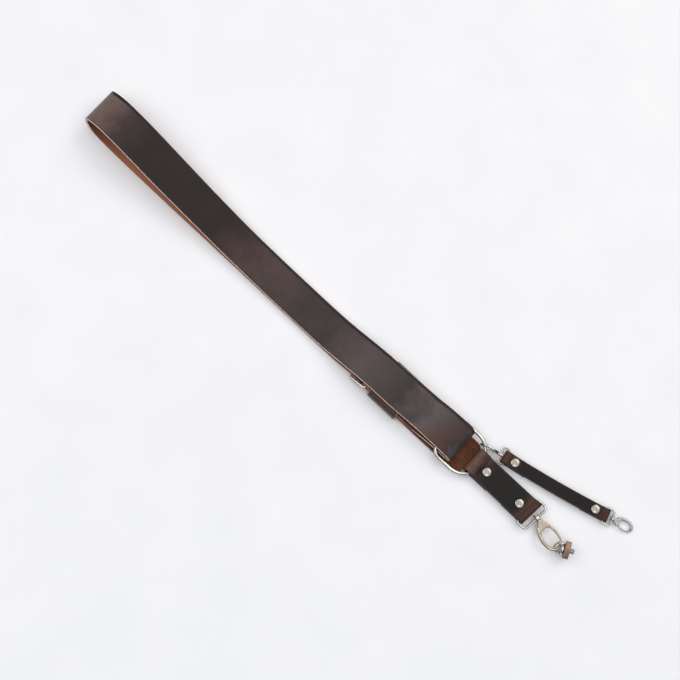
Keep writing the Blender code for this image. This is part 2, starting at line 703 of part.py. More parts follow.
def make_safety_strap():
    near_z, far_z, radius = SAFETY_NEAR_FOLD_Z, SAFETY_FAR_FOLD_Z, SAFETY_FOLD_RADIUS
    low, high = 2.4, 5.1
    first, second = SAFETY_RIVETS
    rows = [(24.0, low), (first + 6.0, low), (first, low + 0.1), (5.0, 2.7)]
    rows += [row[:2] for row in bend((0.0, near_z), radius, 270.0, 90.0, 8, (), ())]
    rows += [(2.3, 7.0), (4.3, 5.9), (first, 5.4), (first + 6.0, high), (50.0, high), (second - 6.0, high)]
    rows += [(second, high), (second + 5.0, 5.2), (second + 8.0, 6.0)]
    rows += [row[:2] for row in bend((SAFETY_LENGTH, far_z), radius, 90.0, -90.0, 8, (), ())]
    rows += [(second + 8.0, 1.5), (second + 5.0, low), (84.0, low)]
    edges = []
    for along, z in smooth(rows, 6.0):
        x, y, heading = safety_place(along)
        from_end = min(along, SAFETY_LENGTH - along)
        half = (SAFETY_FOLD_WIDTH + (SAFETY_WIDTH - SAFETY_FOLD_WIDTH) * min(max(from_end / 6.0, 0.0), 1.0)) / 2
        side = (-math.sin(heading) * half, math.cos(heading) * half)
        edges.append(((x - side[0], y - side[1], z), (x + side[0], y + side[1], z)))
    strap = ribbon("safety_strap", edges, SAFETY_THICKNESS, brown_leather, root)
    for name, along, top in (("near", first, 5.4), ("far", second, high)):
        x, y, _ = safety_place(along)
        cutter = rod(f"safety_{name}_cutter", RIVET_HOLE_RADIUS, (x, y, -1), (x, y, 11), root, sides=12, group=cutters)
        combine(strap, cutter, "DIFFERENCE")
        rivet(f"safety_rivet_{name}", (x, y), low - SAFETY_THICKNESS / 2, top + SAFETY_THICKNESS / 2 + 0.45, root)


def swivel_eye(name, depth, half_width, bar, corners, shift, scale, parent, axis):
    """A rounded wire eye with a boss bored along the swivel axis."""
    outline = rounded_rectangle(depth, 2 * half_width, corners[0], 4, corners[1])
    points = [(x - depth / 2, y + shift, 0.0) for x, y in outline]
    eye = as_mesh(wire(name, points, bar, nickel, parent, closed=True))
    half = BOSS_LENGTH * scale / 2
    boss = rod(name + "_boss", BOSS_RADIUS * scale, (-half, 0, 0), (half, 0, 0), axis, sides=12, group=cutters)
    combine(eye, boss, "UNION")
    bore = rod(name + "_bore", BOSS_HOLE_RADIUS * scale, (-3, 0, 0), (3, 0, 0), axis, sides=12, group=cutters)
    combine(eye, bore, "DIFFERENCE")


def snap_hook(name, scale, swell, carrier):
    """An oval snap hook on its swivel post, and the gate that closes it."""
    arm_rows = [(x * scale, y * scale, r * scale * swell) for x, y, r in HOOK_ARM]
    rows = smooth(arm_rows, 3.2 * scale)
    arm = wire(name + "_hook", [(x, y, 0.0) for x, y, _ in rows], scale, nickel, carrier,
               sides=10, radii=[row[2] for row in rows])
    hook = as_mesh(arm)
    outline = [(x * scale, y * scale) for x, y in HOOK_HEAD]
    head = as_mesh(slab(name + "_head", (outline,), HOOK_HEAD_THICKNESS * scale, None, carrier, cutters))
    combine(hook, head, "UNION")
    post_profile = [
        (0.0, COLLAR_END * scale),
        (COLLAR_RADIUS * scale, COLLAR_END * scale),
        (COLLAR_RADIUS * scale, COLLAR_START * scale),
        (POST_RADIUS * scale, COLLAR_START * scale),
        (POST_RADIUS * scale, POST_HEAD_END * scale),
        (POST_HEAD_RADIUS * scale, POST_HEAD_END * scale),
        (POST_HEAD_RADIUS * scale, POST_HEAD_START * scale),
        (0.0, POST_HEAD_START * scale),
    ]
    post = turned(name + "_post", post_profile, 12, None, carrier, cutters)
    post.rotation_euler = (0.0, math.radians(90), 0.0)
    combine(hook, post, "UNION")
    px, py = GATE_PIVOT[0] * scale, GATE_PIVOT[1] * scale
    gap = HOOK_FORK_GAP * scale / 2
    fork = rod(name + "_fork", HOOK_FORK_RADIUS * scale, (px, py, -gap), (px, py, gap), carrier, sides=20, group=cutters)
    combine(hook, fork, "DIFFERENCE")
    half = HOOK_HEAD_THICKNESS * scale / 2 - 0.1
    pin = rod(name + "_pin", GATE_PIN_RADIUS * scale, (px, py, -half), (px, py, half), carrier, sides=10, group=cutters)
    combine(hook, pin, "UNION")

    pivot = frame(name + "_gate_pivot", (px, py, 0.0), parent=carrier)
    gate_rows = [((x - GATE_PIVOT[0]) * scale, (y - GATE_PIVOT[1]) * scale, r * scale * swell) for x, y, r in GATE_ARM]
    gate_rows[0] = (0.0, 0.0, GATE_ARM[0][2] * scale)
    gate_rows = smooth(gate_rows, 3.2 * scale)
    gate = as_mesh(wire(name + "_gate", [(x, y, 0.0) for x, y, _ in gate_rows], scale, nickel, pivot,
                        radii=[row[2] for row in gate_rows]))
    thick = gap - GAP
    root_disc = rod(name + "_gate_root", GATE_ROOT_RADIUS * scale, (0, 0, -thick), (0, 0, thick), pivot, sides=14,
                    group=cutters)
    combine(gate, root_disc, "UNION")
    hole = GATE_PIN_RADIUS * scale + GAP + 0.05
    bore = rod(name + "_gate_bore", hole, (0, 0, -3), (0, 0, 3), pivot, sides=10, group=cutters)
    combine(gate, bore, "DIFFERENCE")


def make_large_snap():
    eye_place = frame("large_eye_place", LARGE_SWIVEL, LARGE_EYE_YAW, LARGE_PITCH, parent=root)
    axis = frame("large_swivel_axis", LARGE_SWIVEL, LARGE_HOOK_YAW, LARGE_PITCH, parent=root)
    swivel_eye("large_eye", LARGE_EYE_DEPTH, LARGE_EYE_HALF_WIDTH, LARGE_EYE_WIRE, LARGE_EYE_CORNERS,
               LARGE_EYE_SHIFT, 1.0, eye_place, axis)
    snap_hook("large", 1.0, 1.0, axis)


def make_small_snaps():
    upper_place = frame("upper_eye_place", UPPER_SWIVEL, UPPER_EYE_YAW, UPPER_EYE_PITCH, parent=root)
    upper = frame("upper_swivel_axis", UPPER_SWIVEL, UPPER_YAW, 0.0, UPPER_ROLL, parent=root)
    lower = frame("lower_swivel_axis", LOWER_SWIVEL, LOWER_YAW, LOWER_PITCH, 180.0, parent=root)
    for name, depth, shift, place, axis in (
        ("upper", UPPER_EYE_DEPTH, UPPER_EYE_SHIFT, upper_place, upper),
        ("lower", LOWER_EYE_DEPTH, 0.0, lower, lower),
    ):
        swivel_eye(name + "_eye", depth, SMALL_EYE_HALF_WIDTH, SMALL_EYE_WIRE, SMALL_EYE_CORNERS, shift,
                   SMALL_SCALE, place, axis)
        snap_hook(name, SMALL_SCALE, SMALL_SWELL, axis)


def make_camera_screw():
    carrier = frame("screw_hinge_axis", SCREW_CENTRE, SCREW_YAW, SCREW_PITCH, SCREW_ROLL, root)
    half = FLANGE_THICKNESS / 2
    screw_profile = [
        (0.0, STUD_END),
        (STUD_RADIUS - 0.6, STUD_END),
        (STUD_RADIUS, STUD_END - 0.6),
        (STUD_RADIUS, half),
        (FLANGE_RADIUS - 0.5, half),
        (FLANGE_RADIUS, half - 0.5),
        (FLANGE_RADIUS, 0.5 - half),
        (FLANGE_RADIUS - 0.5, -half),
        (0.0, -half),
    ]
    screw = turned("camera_screw", screw_profile, 20, nickel, carrier)
    screw.rotation_euler = (0.0, math.radians(90), 0.0)
    for side, name in ((1, "top"), (-1, "bottom")):
        inner = side * (FLANGE_RADIUS - SOCKET_DEPTH)
        outer = side * (FLANGE_RADIUS + 1.0)
        socket = rod(f"socket_cutter_{name}", SOCKET_RADIUS, (0, 0, inner), (0, 0, outer), carrier, sides=10, group=cutters)
        combine(screw, socket, "DIFFERENCE")

    start = half + GAP
    washer_profile = [
        (WASHER_HOLE_RADIUS, start + WASHER_THICKNESS),
        (WASHER_RADIUS, start + WASHER_THICKNESS),
        (WASHER_RADIUS, start),
        (WASHER_HOLE_RADIUS, start),
    ]
    washer = turned("screw_washer", washer_profile, 32, tan_leather, carrier)
    washer.rotation_euler = (0.0, math.radians(90), 0.0)

    points = [(0.0, 0.0, FLANGE_RADIUS - SOCKET_DEPTH + GAP), (0.0, 0.0, BAIL_FOOT - 0.4), (-0.4, 0.0, BAIL_FOOT)]
    for k in range(13):
        angle = math.radians(90 - 180 * k / 12)
        x = -BAIL_LEG - (BAIL_REACH - BAIL_LEG) * math.cos(angle)
        points.append((x, 0.0, BAIL_FOOT * math.sin(angle)))
    points += [(x, y, -z) for x, y, z in reversed(points[:3])]
    wire("screw_bail", points, BAIL_WIRE, nickel, carrier)


clear_scene()
parts = new_collection("leather_shoulder_strap")
cutters = new_collection("cutters")
dark_leather = material("dark_leather", (0.055, 0.042, 0.038), 0.45)
brown_leather = material("brown_leather", (0.06, 0.03, 0.022), 0.42)
tan_leather = material("tan_leather", (0.42, 0.25, 0.16), 0.7)
nickel = material("nickel", (0.78, 0.73, 0.67), 0.22, 1.0)
root = frame("strap_middle", (-CENTRE_X, -CENTRE_Y, 0.0))
make_main_strap()
make_buckle()
make_keeper()
make_ring()
make_connector()
make_large_snap()
make_camera_screw()
make_safety_strap()
make_small_snaps()
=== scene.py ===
import math

import bmesh
import bpy
from mathutils import Matrix, Vector


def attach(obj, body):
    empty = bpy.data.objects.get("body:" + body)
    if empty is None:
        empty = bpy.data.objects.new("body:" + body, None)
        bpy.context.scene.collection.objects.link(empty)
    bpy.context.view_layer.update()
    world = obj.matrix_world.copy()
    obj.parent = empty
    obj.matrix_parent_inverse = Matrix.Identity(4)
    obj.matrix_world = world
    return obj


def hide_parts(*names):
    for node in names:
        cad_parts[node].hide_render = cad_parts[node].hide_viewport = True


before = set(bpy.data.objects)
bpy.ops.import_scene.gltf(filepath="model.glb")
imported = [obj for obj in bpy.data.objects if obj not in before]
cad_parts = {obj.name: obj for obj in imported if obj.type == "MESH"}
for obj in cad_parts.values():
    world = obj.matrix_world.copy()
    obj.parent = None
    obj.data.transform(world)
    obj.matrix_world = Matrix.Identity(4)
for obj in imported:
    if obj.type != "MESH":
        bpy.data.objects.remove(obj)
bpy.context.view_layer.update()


# The view, the floor and the light.
# The strap lies on a plain white plastered floor, in soft light from a window, a roof light and a door, under a
# bluish sky. Its own drawing is in millimetres from the open end of the folded loop.

MM = 0.001
STRAP_MIDDLE = Vector((333.82, 20.93, 0.0))


def at(x, y, z=0.0):
    """A point of the strap's drawing, in metres round the strap's middle."""
    return (Vector((x, y, z)) - STRAP_MIDDLE) * MM


def to_metres(bm):
    """Takes a bmesh from the strap's drawing to metres round the strap's middle."""
    for vert in bm.verts:
        vert.co = (vert.co - STRAP_MIDDLE) * MM


def finished(bm, name):
    """The mesh of a bmesh that is done with."""
    mesh = bpy.data.meshes.new(name)
    bm.to_mesh(mesh)
    bm.free()
    return mesh


def linked(name, data):
    obj = bpy.data.objects.new(name, data)
    bpy.context.scene.collection.objects.link(obj)
    return obj


def aim(obj, place, target, roll=0.0):
    """Sets a camera or lamp in its place and points it at a target; roll is in degrees."""
    turn = (place - target).to_track_quat("Z", "Y").to_matrix() @ Matrix.Rotation(math.radians(roll), 3, "Z")
    obj.matrix_world = Matrix.Translation(place) @ turn.to_4x4()


VIEW_TURN, VIEW_HEIGHT, VIEW_ROLL = 25.382, 74.836, 18.445  # degrees
VIEW_DISTANCE = 1.0388  # metres
view_turn, view_height = math.radians(VIEW_TURN), math.radians(VIEW_HEIGHT)
towards_camera = Vector(
    (
        math.sin(view_turn) * math.cos(view_height),
        -math.cos(view_turn) * math.cos(view_height),
        math.sin(view_height),
    )
)
aimed_at = at(339.57, 0.29)
camera_data = bpy.data.cameras.new("camera")
camera_data.lens = 56.12
camera = linked("camera", camera_data)
aim(camera, aimed_at + towards_camera * VIEW_DISTANCE, aimed_at, VIEW_ROLL)
bpy.context.scene.camera = camera
bpy.context.scene.view_settings.view_transform = "Standard"


def soft_lamp(name, place, size, power, colour):
    """A rectangular lamp that shines on the strap's middle; its power is in watts."""
    lamp = bpy.data.lights.new(name, "AREA")
    lamp.shape = "RECTANGLE"
    lamp.size = size[0]
    lamp.size_y = size[1]
    lamp.energy = power
    lamp.color = colour
    aim(linked(name, lamp), Vector(place), Vector((0.0, 0.0, 0.0)))


soft_lamp("window", (0.4, 1.7, 1.6), (2.0, 1.4), 15.0, (1.0, 0.93, 0.82))
soft_lamp("skylight", (0.62, -0.28, 1.5), (0.6, 0.5), 1.5, (1.0, 0.96, 0.9))
soft_lamp("door", (-1.2, -0.7, 1.5), (1.4, 1.2), 8.0, (1.0, 0.95, 0.88))


def new_material(name, colour, roughness, metallic=0.0):
    """A material, with its node tree and its main shader."""
    mat = bpy.data.materials.new(name)
    mat.use_nodes = True
    shader = mat.node_tree.nodes["Principled BSDF"]
    shader.inputs["Base Color"].default_value = (*colour, 1.0)
    shader.inputs["Roughness"].default_value = roughness
    shader.inputs["Metallic"].default_value = metallic
    return mat, mat.node_tree, shader


def add_node(tree, kind, inputs=(), **settings):
    """A node; each input is given as its name or number and a value, or the socket that it is linked to."""
    node = tree.nodes.new(kind)
    for key, value in settings.items():
        setattr(node, key, value)
    for key, value in inputs:
        if hasattr(value, "links"):
            tree.links.new(value, node.inputs[key])
        else:
            node.inputs[key].default_value = value
    return node


def ramp(tree, source, stops):
    """A colour ramp over a value, from rows of position and colour."""
    node = add_node(tree, "ShaderNodeValToRGB", [("Fac", source)])
    while len(node.color_ramp.elements) < len(stops):
        node.color_ramp.elements.new(0.5)
    for element, (place, colour) in zip(node.color_ramp.elements, stops):
        element.position = place
        element.color = (*colour, 1.0)
    return node.outputs["Color"]


def coordinates(tree, kind="Object"):
    return add_node(tree, "ShaderNodeTexCoord").outputs[kind]


def axis(tree, letter, kind="Object"):
    """One axis of the coordinates."""
    return add_node(tree, "ShaderNodeSeparateXYZ", [(0, coordinates(tree, kind))]).outputs[letter]


def clouds(tree, where, scale, detail, roughness=0.5):
    """Soft noise, in features of about 1 / scale metres."""
    inputs = [("Vector", where), ("Scale", scale), ("Detail", detail), ("Roughness", roughness)]
    return add_node(tree, "ShaderNodeTexNoise", inputs)


def bump(tree, shader, height, distance, strength):
    """Raises a surface by a height of 0 to 1; distance is in metres."""
    node = add_node(tree, "ShaderNodeBump", [("Height", height), ("Distance", distance), ("Strength", strength)])
    tree.links.new(node.outputs["Normal"], shader.inputs["Normal"])


plaster, tree, shader = new_material("table_plaster", (0.905, 0.857, 0.855), 0.6)
patches = clouds(tree, coordinates(tree), 14.0, 6.0)
tree.links.new(
    ramp(tree, patches.outputs["Fac"], [(0.3, (0.885, 0.84, 0.845)), (0.7, (0.925, 0.875, 0.865))]),
    shader.inputs["Base Color"],
)
bump(tree, shader, patches.outputs["Fac"], 0.002, 0.35)
bm = bmesh.new()
bmesh.ops.create_grid(bm, x_segments=1, y_segments=1, size=4.0)
table_top = linked("table_top", finished(bm, "table_top"))
table_top.data.materials.append(plaster)
table_top.location.z = -0.4 * MM

# The room: a pale sky above dark walls, which the metal mirrors.
room = bpy.data.worlds.new("room")
room.use_nodes = True
tree = room.node_tree
walls = ramp(
    tree,
    axis(tree, "Z", "Generated"),
    [(0.0, (0.02, 0.02, 0.02)), (0.5, (0.03, 0.03, 0.03)), (0.78, (0.77, 0.86, 0.935)), (1.0, (0.82, 0.91, 0.975))],
)
tree.links.new(walls, tree.nodes["Background"].inputs["Color"])
tree.nodes["Background"].inputs["Strength"].default_value = 1.42
bpy.context.scene.world = room


# The main strap.
# One band of thick leather, dyed and polished on its outside, raw suede inside, with bevelled pale cut edges.
# It is folded through the ring and the buckle, and punched with tongue holes.

STRAP_THICKNESS = 2.8
ROW_SPACING = 2.4
RING_FOLD, RING_FOLD_RADIUS = (491.2, 9.1), 4.1  # x and height of the fold's centre
HEEL_BAR, HEEL_FOLD_RADIUS = (389.8, 9.5), 3.15
LOOP_SKEW, SKEW_START, SKEW_RUN = -3.4, 17.0, 14.5  # the loop's fold is askew across the strap
TONGUE_HOLES = ((308.2, 1.4), (333.2, 1.4), (358.2, 4.3), (408.2, 3.7), (433.2, 3.5), (458.2, 1.4))
TONGUE_HOLE_RADIUS, HOLE_DEPTH = 2.1, 3.4
SLOT_RADIUS, SLOT_WIDTH = 4.9, 2.8
STRAP_ROWS = (
    # x, height of the middle, y, width
    (511.4, 1.4, 2.6, 20.0),
    (511.2, 1.4, 2.0, 26.0),
    (510.6, 1.4, 1.5, 30.4),
    (509.3, 1.4, 1.0, 33.8),
    (507.2, 1.4, 0.6, 36.0),
    (503.8, 1.4, 0.4, 37.0),
    (497.5, 1.4, 0.3, 37.3),
    (488.0, 1.4, 0.2, 37.5),
    (470.0, 1.4, 0.2, 37.5),
    (456.0, 1.4, 0.1, 37.5),
    (451.5, 1.4, 0.1, 37.5),
    (444.0, 1.9, 0.0, 37.5),
    (437.0, 3.0, 0.0, 37.5),
    (431.0, 3.7, 0.0, 37.5),
    (420.0, 3.7, 0.0, 37.5),
    (404.0, 3.7, 0.0, 37.5),
    (396.0, 3.7, 0.0, 37.5),
    (389.8, 3.25, 0.0, 37.5),
    (384.0, 4.3, 0.0, 37.5),
    (379.0, 5.8, 0.0, 37.5),
    (372.6, 7.2, 0.0, 37.5),
    (366.0, 6.5, 0.0, 37.5),
    (357.0, 4.0, 0.0, 37.5),
    (348.0, 2.15, 0.0, 37.5),
    (342.0, 1.6, 0.0, 37.5),
    (336.0, 1.45, 0.0, 37.5),
    (330.0, 1.41, 0.0, 37.5),
    (320.0, 1.4, 0.0, 37.5),
    (250.0, 1.4, 0.0, 37.5),
    (185.0, 1.4, 0.1, 38.0),
    (125.0, 1.4, 0.3, 38.9),
    (85.0, 1.4, 0.6, 39.4),
    (55.0, 1.4, 0.9, 39.6),
    (33.0, 1.43, 1.3, 39.6),
    (20.0, 1.45, 1.8, 39.6),
)
LOOP_ROWS = (
    (14.5, 1.6, 2.1, 39.6),
    (9.8, 2.4, 2.5, 39.6),
    (5.9, 4.3, 2.9, 39.6),
    (3.3, 7.0, 3.2, 39.6),
    (2.1, 10.0, 3.4, 39.6),
    (2.5, 13.4, 3.5, 39.6),
    (3.6, 17.0, 3.5, 39.6),
    (5.2, 20.1, 3.3, 39.6),
    (7.6, 22.9, 3.1, 39.8),
    (10.8, 25.3, 2.9, 39.9),
    (16.5, 28.2, 2.6, 40.0),
    (22.5, 29.9, 2.5, 40.0),
)
TOP_LEG_ROWS = (
    (30.0, 30.9, 2.4, 40.0),
    (47.0, 30.7, 2.0, 40.0),
    (66.0, 29.3, 1.5, 40.0),
    (86.0, 26.4, 1.0, 39.8),
    (106.0, 22.7, 0.7, 39.6),
    (128.0, 19.0, 0.5, 38.9),
    (150.0, 15.3, 0.3, 38.4),
    (172.0, 11.9, 0.2, 38.0),
    (195.0, 8.9, 0.0, 37.7),
    (220.0, 6.6, 0.0, 37.5),
    (245.0, 5.2, 0.0, 37.5),
    (270.0, 4.6, 0.0, 37.5),
    (312.0, 4.6, 0.0, 37.5),
    (332.0, 5.9, 0.0, 37.5),
    (348.0, 8.6, 0.1, 37.5),
    (362.0, 12.0, 0.2, 37.5),
    (376.0, 14.9, 0.4, 37.5),
    (390.0, 16.2, 0.6, 37.5),
    (405.0, 16.2, 0.9, 37.5),
    (420.0, 16.0, 1.3, 37.8),
    (435.0, 15.5, 2.0, 37.5),
    (450.0, 14.5, 2.8, 37.6),
    (465.0, 13.9, 3.6, 38.5),
    (479.0, 13.4, 3.9, 39.1),
)
RETURN_ROWS = (
    (478.0, 5.0, 2.8, 37.3),
    (465.0, 5.1, 2.2, 37.3),
    (452.0, 5.4, 1.4, 37.8),
    (442.0, 6.1, 0.8, 37.5),
    (435.0, 6.6, 0.4, 37.5),
    (428.0, 6.8, 0.2, 37.5),
    (415.0, 6.8, 0.0, 37.5),
    (402.0, 6.8, 0.0, 37.5),
    (395.5, 6.7, 0.0, 37.5),
)
SEWN_END_ROWS = (
    (391.9, 11.8, 0.0, 37.5),
    (393.9, 10.6, 0.0, 37.5),
    (396.2, 10.0, 0.0, 37.5),
    (400.0, 9.9, 0.0, 37.5),
    (415.0, 9.9, 0.0, 37.5),
    (430.0, 9.9, 0.1, 37.5),
    (440.0, 9.3, 0.4, 37.5),
)


def smooth(rows, spacing):
    """Rows on a smooth curve through the given rows, at most spacing apart."""
    rows = [Vector(row) for row in rows]
    out = [rows[0]]
    for i in range(len(rows) - 1):
        before, start, end = rows[max(i - 1, 0)], rows[i], rows[i + 1]
        after = rows[min(i + 2, len(rows) - 1)]
        reach = (end - start).length
        in_slope = (end - before) * reach / max(reach + (start - before).length, 1e-6)
        out_slope = (after - start) * reach / max(reach + (after - end).length, 1e-6)
        steps = max(1, math.ceil(reach / spacing))
        for k in range(1, steps + 1):
            t = k / steps
            out.append(
                start * (2 * t**3 - 3 * t**2 + 1)
                + in_slope * (t**3 - 2 * t**2 + t)
                + end * (3 * t**2 - 2 * t**3)
                + out_slope * (t**3 - t**2)
            )
    return out


def bend(centre, radius, start, end, steps, first, last):
    """Rows round a fold, with the rest of each row going from first to last."""
    rows = []
    for i in range(steps + 1):
        t = i / steps
        angle = math.radians(start + (end - start) * t)
        rest = [a + (b - a) * t for a, b in zip(first, last)]
        rows.append((centre[0] + radius * math.cos(angle), centre[1] + radius * math.sin(angle), *rest))
    return rows


def add_piece(name, mesh, mats):
    """A piece's object, with its mesh and materials."""
    obj = linked(name, mesh)
    for mat in mats:
        mesh.materials.append(mat)
    return obj


def leather_band(name, sections, thickness, mats, edge=0.45, across=14, closed=False):
    """A band between left and right points, in millimetres of the strap's drawing.

    Seen from its start, with left on the left, the underside is the grain side and gets mats[0], the upper side gets
    mats[1] and the cut edges mats[2]. The UV map runs along and across in metres.
    """
    left = [Vector(pair[0]) for pair in sections]
    right = [Vector(pair[1]) for pair in sections]
    count = len(sections)
    middle = [(a + b) / 2 for a, b in zip(left, right)]
    along = [0.0]
    for i in range(1, count):
        along.append(along[-1] + (middle[i] - middle[i - 1]).length)
    half = thickness / 2
    rounding = []
    for angle in (-60, -20, 20, 60):
        a = math.radians(angle)
        rounding.append((edge * math.cos(a), (half - edge) * math.sin(a) * 1.15 + edge * math.sin(a)))
    outline = [(-1.0 + 2.0 * k / across, 0.0, -half) for k in range(across + 1)]
    outline += [(1.0, out, rise) for out, rise in rounding]
    outline += [(1.0 - 2.0 * k / across, 0.0, half) for k in range(across + 1)]
    outline += [(-1.0, -out, rise) for out, rise in reversed(rounding)]
    around = len(outline)
    edge_faces = len(rounding) + 1

    bm = bmesh.new()
    bm.loops.layers.uv.new("UVMap")
    segments_along = count if closed else count - 1
    bmesh.ops.create_grid(bm, x_segments=segments_along, y_segments=around, size=0.5, calc_uvs=True)
    uv = bm.loops.layers.uv.active
    length = along[-1]
    if closed:
        length += (middle[0] - middle[-1]).length
    for vert in bm.verts:
        i = round((vert.co.x + 0.5) * segments_along) % count
        j = round((vert.co.y + 0.5) * around)
        side, out, rise = outline[j % around]
        before = middle[(i - 1) % count] if closed else middle[max(i - 1, 0)]
        after = middle[(i + 1) % count] if closed else middle[min(i + 1, count - 1)]
        across_way = (right[i] - left[i]).normalized()
        normal = across_way.cross((after - before).normalized())
        reach = (right[i] - left[i]).length / 2 - edge
        vert.co = middle[i] + across_way * (side * reach + out) + normal.normalized() * rise
    to_metres(bm)
    width = (right[count // 2] - left[count // 2]).length
    for face in bm.faces:
        for loop in face.loops:
            u, v = loop[uv].uv
            loop[uv].uv = (u * length * MM, v * around / across * width * MM)
    for face in bm.faces:
        j = math.floor(min(loop[uv].uv[1] for loop in face.loops) / (width * MM) * across + 0.5)
        if j < across:
            face.material_index = 0
        elif across + edge_faces <= j < 2 * across + edge_faces:
            face.material_index = 1
        else:
            face.material_index = 2
        face.smooth = True
    bmesh.ops.remove_doubles(bm, verts=bm.verts, dist=0.002 * MM)
    if not closed:
        open_edges = [e for e in bm.edges if e.is_boundary]
        caps = bmesh.ops.holes_fill(bm, edges=open_edges, sides=0)
        for face in caps["faces"]:
            face.material_index = 2
    bmesh.ops.recalc_face_normals(bm, faces=bm.faces)
    return add_piece(name, finished(bm, name), mats)


def evaluated(obj):
    """The mesh of an object or curve, with its modifiers."""
    bpy.context.view_layer.update()
    return bpy.data.meshes.new_from_object(obj.evaluated_get(bpy.context.evaluated_depsgraph_get()))


def cut(obj, cutter_mesh):
    """Takes a cutter's shape out of a piece for good."""
    cutter = linked("cutter", cutter_mesh)
    step = obj.modifiers.new("cut", "BOOLEAN")
    step.operation = "DIFFERENCE"
    step.solver = "EXACT"
    step.object = cutter
    step.material_mode = "TRANSFER"
    shaped = evaluated(obj)
    obj.modifiers.clear()
    obj.data = shaped
    bpy.data.objects.remove(cutter)


def node_group(name, inputs, outputs):
    """A group with inputs, each with its usual value, and outputs; returned with the node of what it is given."""
    group = bpy.data.node_groups.new(name, "ShaderNodeTree")
    for socket, value in inputs:
        group.interface.new_socket(socket, in_out="INPUT", socket_type="NodeSocketFloat").default_value = value
    for socket in outputs:
        group.interface.new_socket(socket, in_out="OUTPUT", socket_type="NodeSocketFloat")
    return group, add_node(group, "NodeGroupInput")


def maths(tree, operation, *values):
    return add_node(tree, "ShaderNodeMath", enumerate(values), operation=operation).outputs[0]


def spread(tree, value, low, high, to_low=0.0, to_high=1.0, interpolation="LINEAR"):
    """A value's range of low to high, stretched to another one."""
    inputs = [("Value", value), ("From Min", low), ("From Max", high), ("To Min", to_low), ("To Max", to_high)]
    return add_node(tree, "ShaderNodeMapRange", inputs, interpolation_type=interpolation).outputs[0]


def blended(tree, share, first, second, blend="MIX"):
    """Two colours blended, by a share of the second."""
    inputs = [("Fac", share), ("Color1", first), ("Color2", second)]
    return add_node(tree, "ShaderNodeMixRGB", inputs, blend_type=blend).outputs[0]


# Leather grain: fine pebbles with creases between them, and soft uneven patches.
grain, given = node_group(
    "leather_grain", (("Pebble Size", 0.0011), ("Patch Size", 0.03)), ("Height", "Crease", "Patch", "Fibre")
)
place = coordinates(grain)
warp = clouds(grain, place, 500.0, 2.0).outputs["Color"]
shaken = add_node(grain, "ShaderNodeVectorMath", [(0, warp), ("Scale", 0.0009)], operation="SCALE")
moved = add_node(grain, "ShaderNodeVectorMath", [(0, place), (1, shaken.outputs[0])], operation="ADD")
per_metre = maths(grain, "DIVIDE", 1.0, given.outputs["Pebble Size"])
pebbles = add_node(
    grain, "ShaderNodeTexVoronoi", [("Vector", moved.outputs[0]), ("Scale", per_metre)], feature="DISTANCE_TO_EDGE"
)
crease = spread(grain, pebbles.outputs["Distance"], 0.0, 0.16, interpolation="SMOOTHSTEP")
pores = clouds(grain, place, 2600.0, 3.0)
patch = clouds(grain, place, maths(grain, "DIVIDE", 1.0, given.outputs["Patch Size"]), 5.0, 0.6)
stretched = add_node(grain, "ShaderNodeMapping", [("Vector", place), ("Scale", (0.25, 1.0, 1.0))])
fibre = clouds(grain, stretched.outputs[0], 1300.0, 5.0)
add_node(
    grain,
    "NodeGroupOutput",
    [
        ("Height", maths(grain, "MULTIPLY", crease, pores.outputs["Fac"])),
        ("Crease", crease),
        ("Patch", patch.outputs["Fac"]),
        ("Fibre", fibre.outputs["Fac"]),
    ],
)

# Edge wear: 1 at the cut edges of a band of a given width, falling to 0 inwards, with an uneven border. The crease
# line is 0 in the groove that is pressed along each edge.
CREASE_LINE_PLACE, CREASE_LINE_HALF_WIDTH = 0.0024, 0.00035
wear, given = node_group("edge_wear", (("Band Width", 0.0375), ("Reach", 0.0025)), ("Wear", "Crease Line"))
across_map = axis(wear, "Y", "UV")
nearest = maths(wear, "MINIMUM", across_map, maths(wear, "SUBTRACT", given.outputs["Band Width"], across_map))
rough = clouds(wear, coordinates(wear), 160.0, 6.0)
uneven = maths(wear, "MULTIPLY_ADD", rough.outputs["Fac"], 0.003, -0.0015)
shifted = maths(wear, "ADD", nearest, uneven)
fall = spread(wear, shifted, 0.0, given.outputs["Reach"], 1.0, 0.0, "SMOOTHSTEP")
beside = maths(wear, "ABSOLUTE", maths(wear, "SUBTRACT", nearest, CREASE_LINE_PLACE))
line = spread(wear, beside, 0.0, CREASE_LINE_HALF_WIDTH, interpolation="SMOOTHSTEP")
add_node(wear, "NodeGroupOutput", [("Wear", fall), ("Crease Line", line)])

DRAWING_END = 700.0


def along_drawing(tree, end, shift=None):
    """How far a point is along the strap's drawing: 0 at its start, 1 at end."""
    place = axis(tree, "X")
    if shift is not None:
        place = maths(tree, "ADD", place, shift)
    return spread(tree, place, at(0, 0).x, at(end, 0).x)


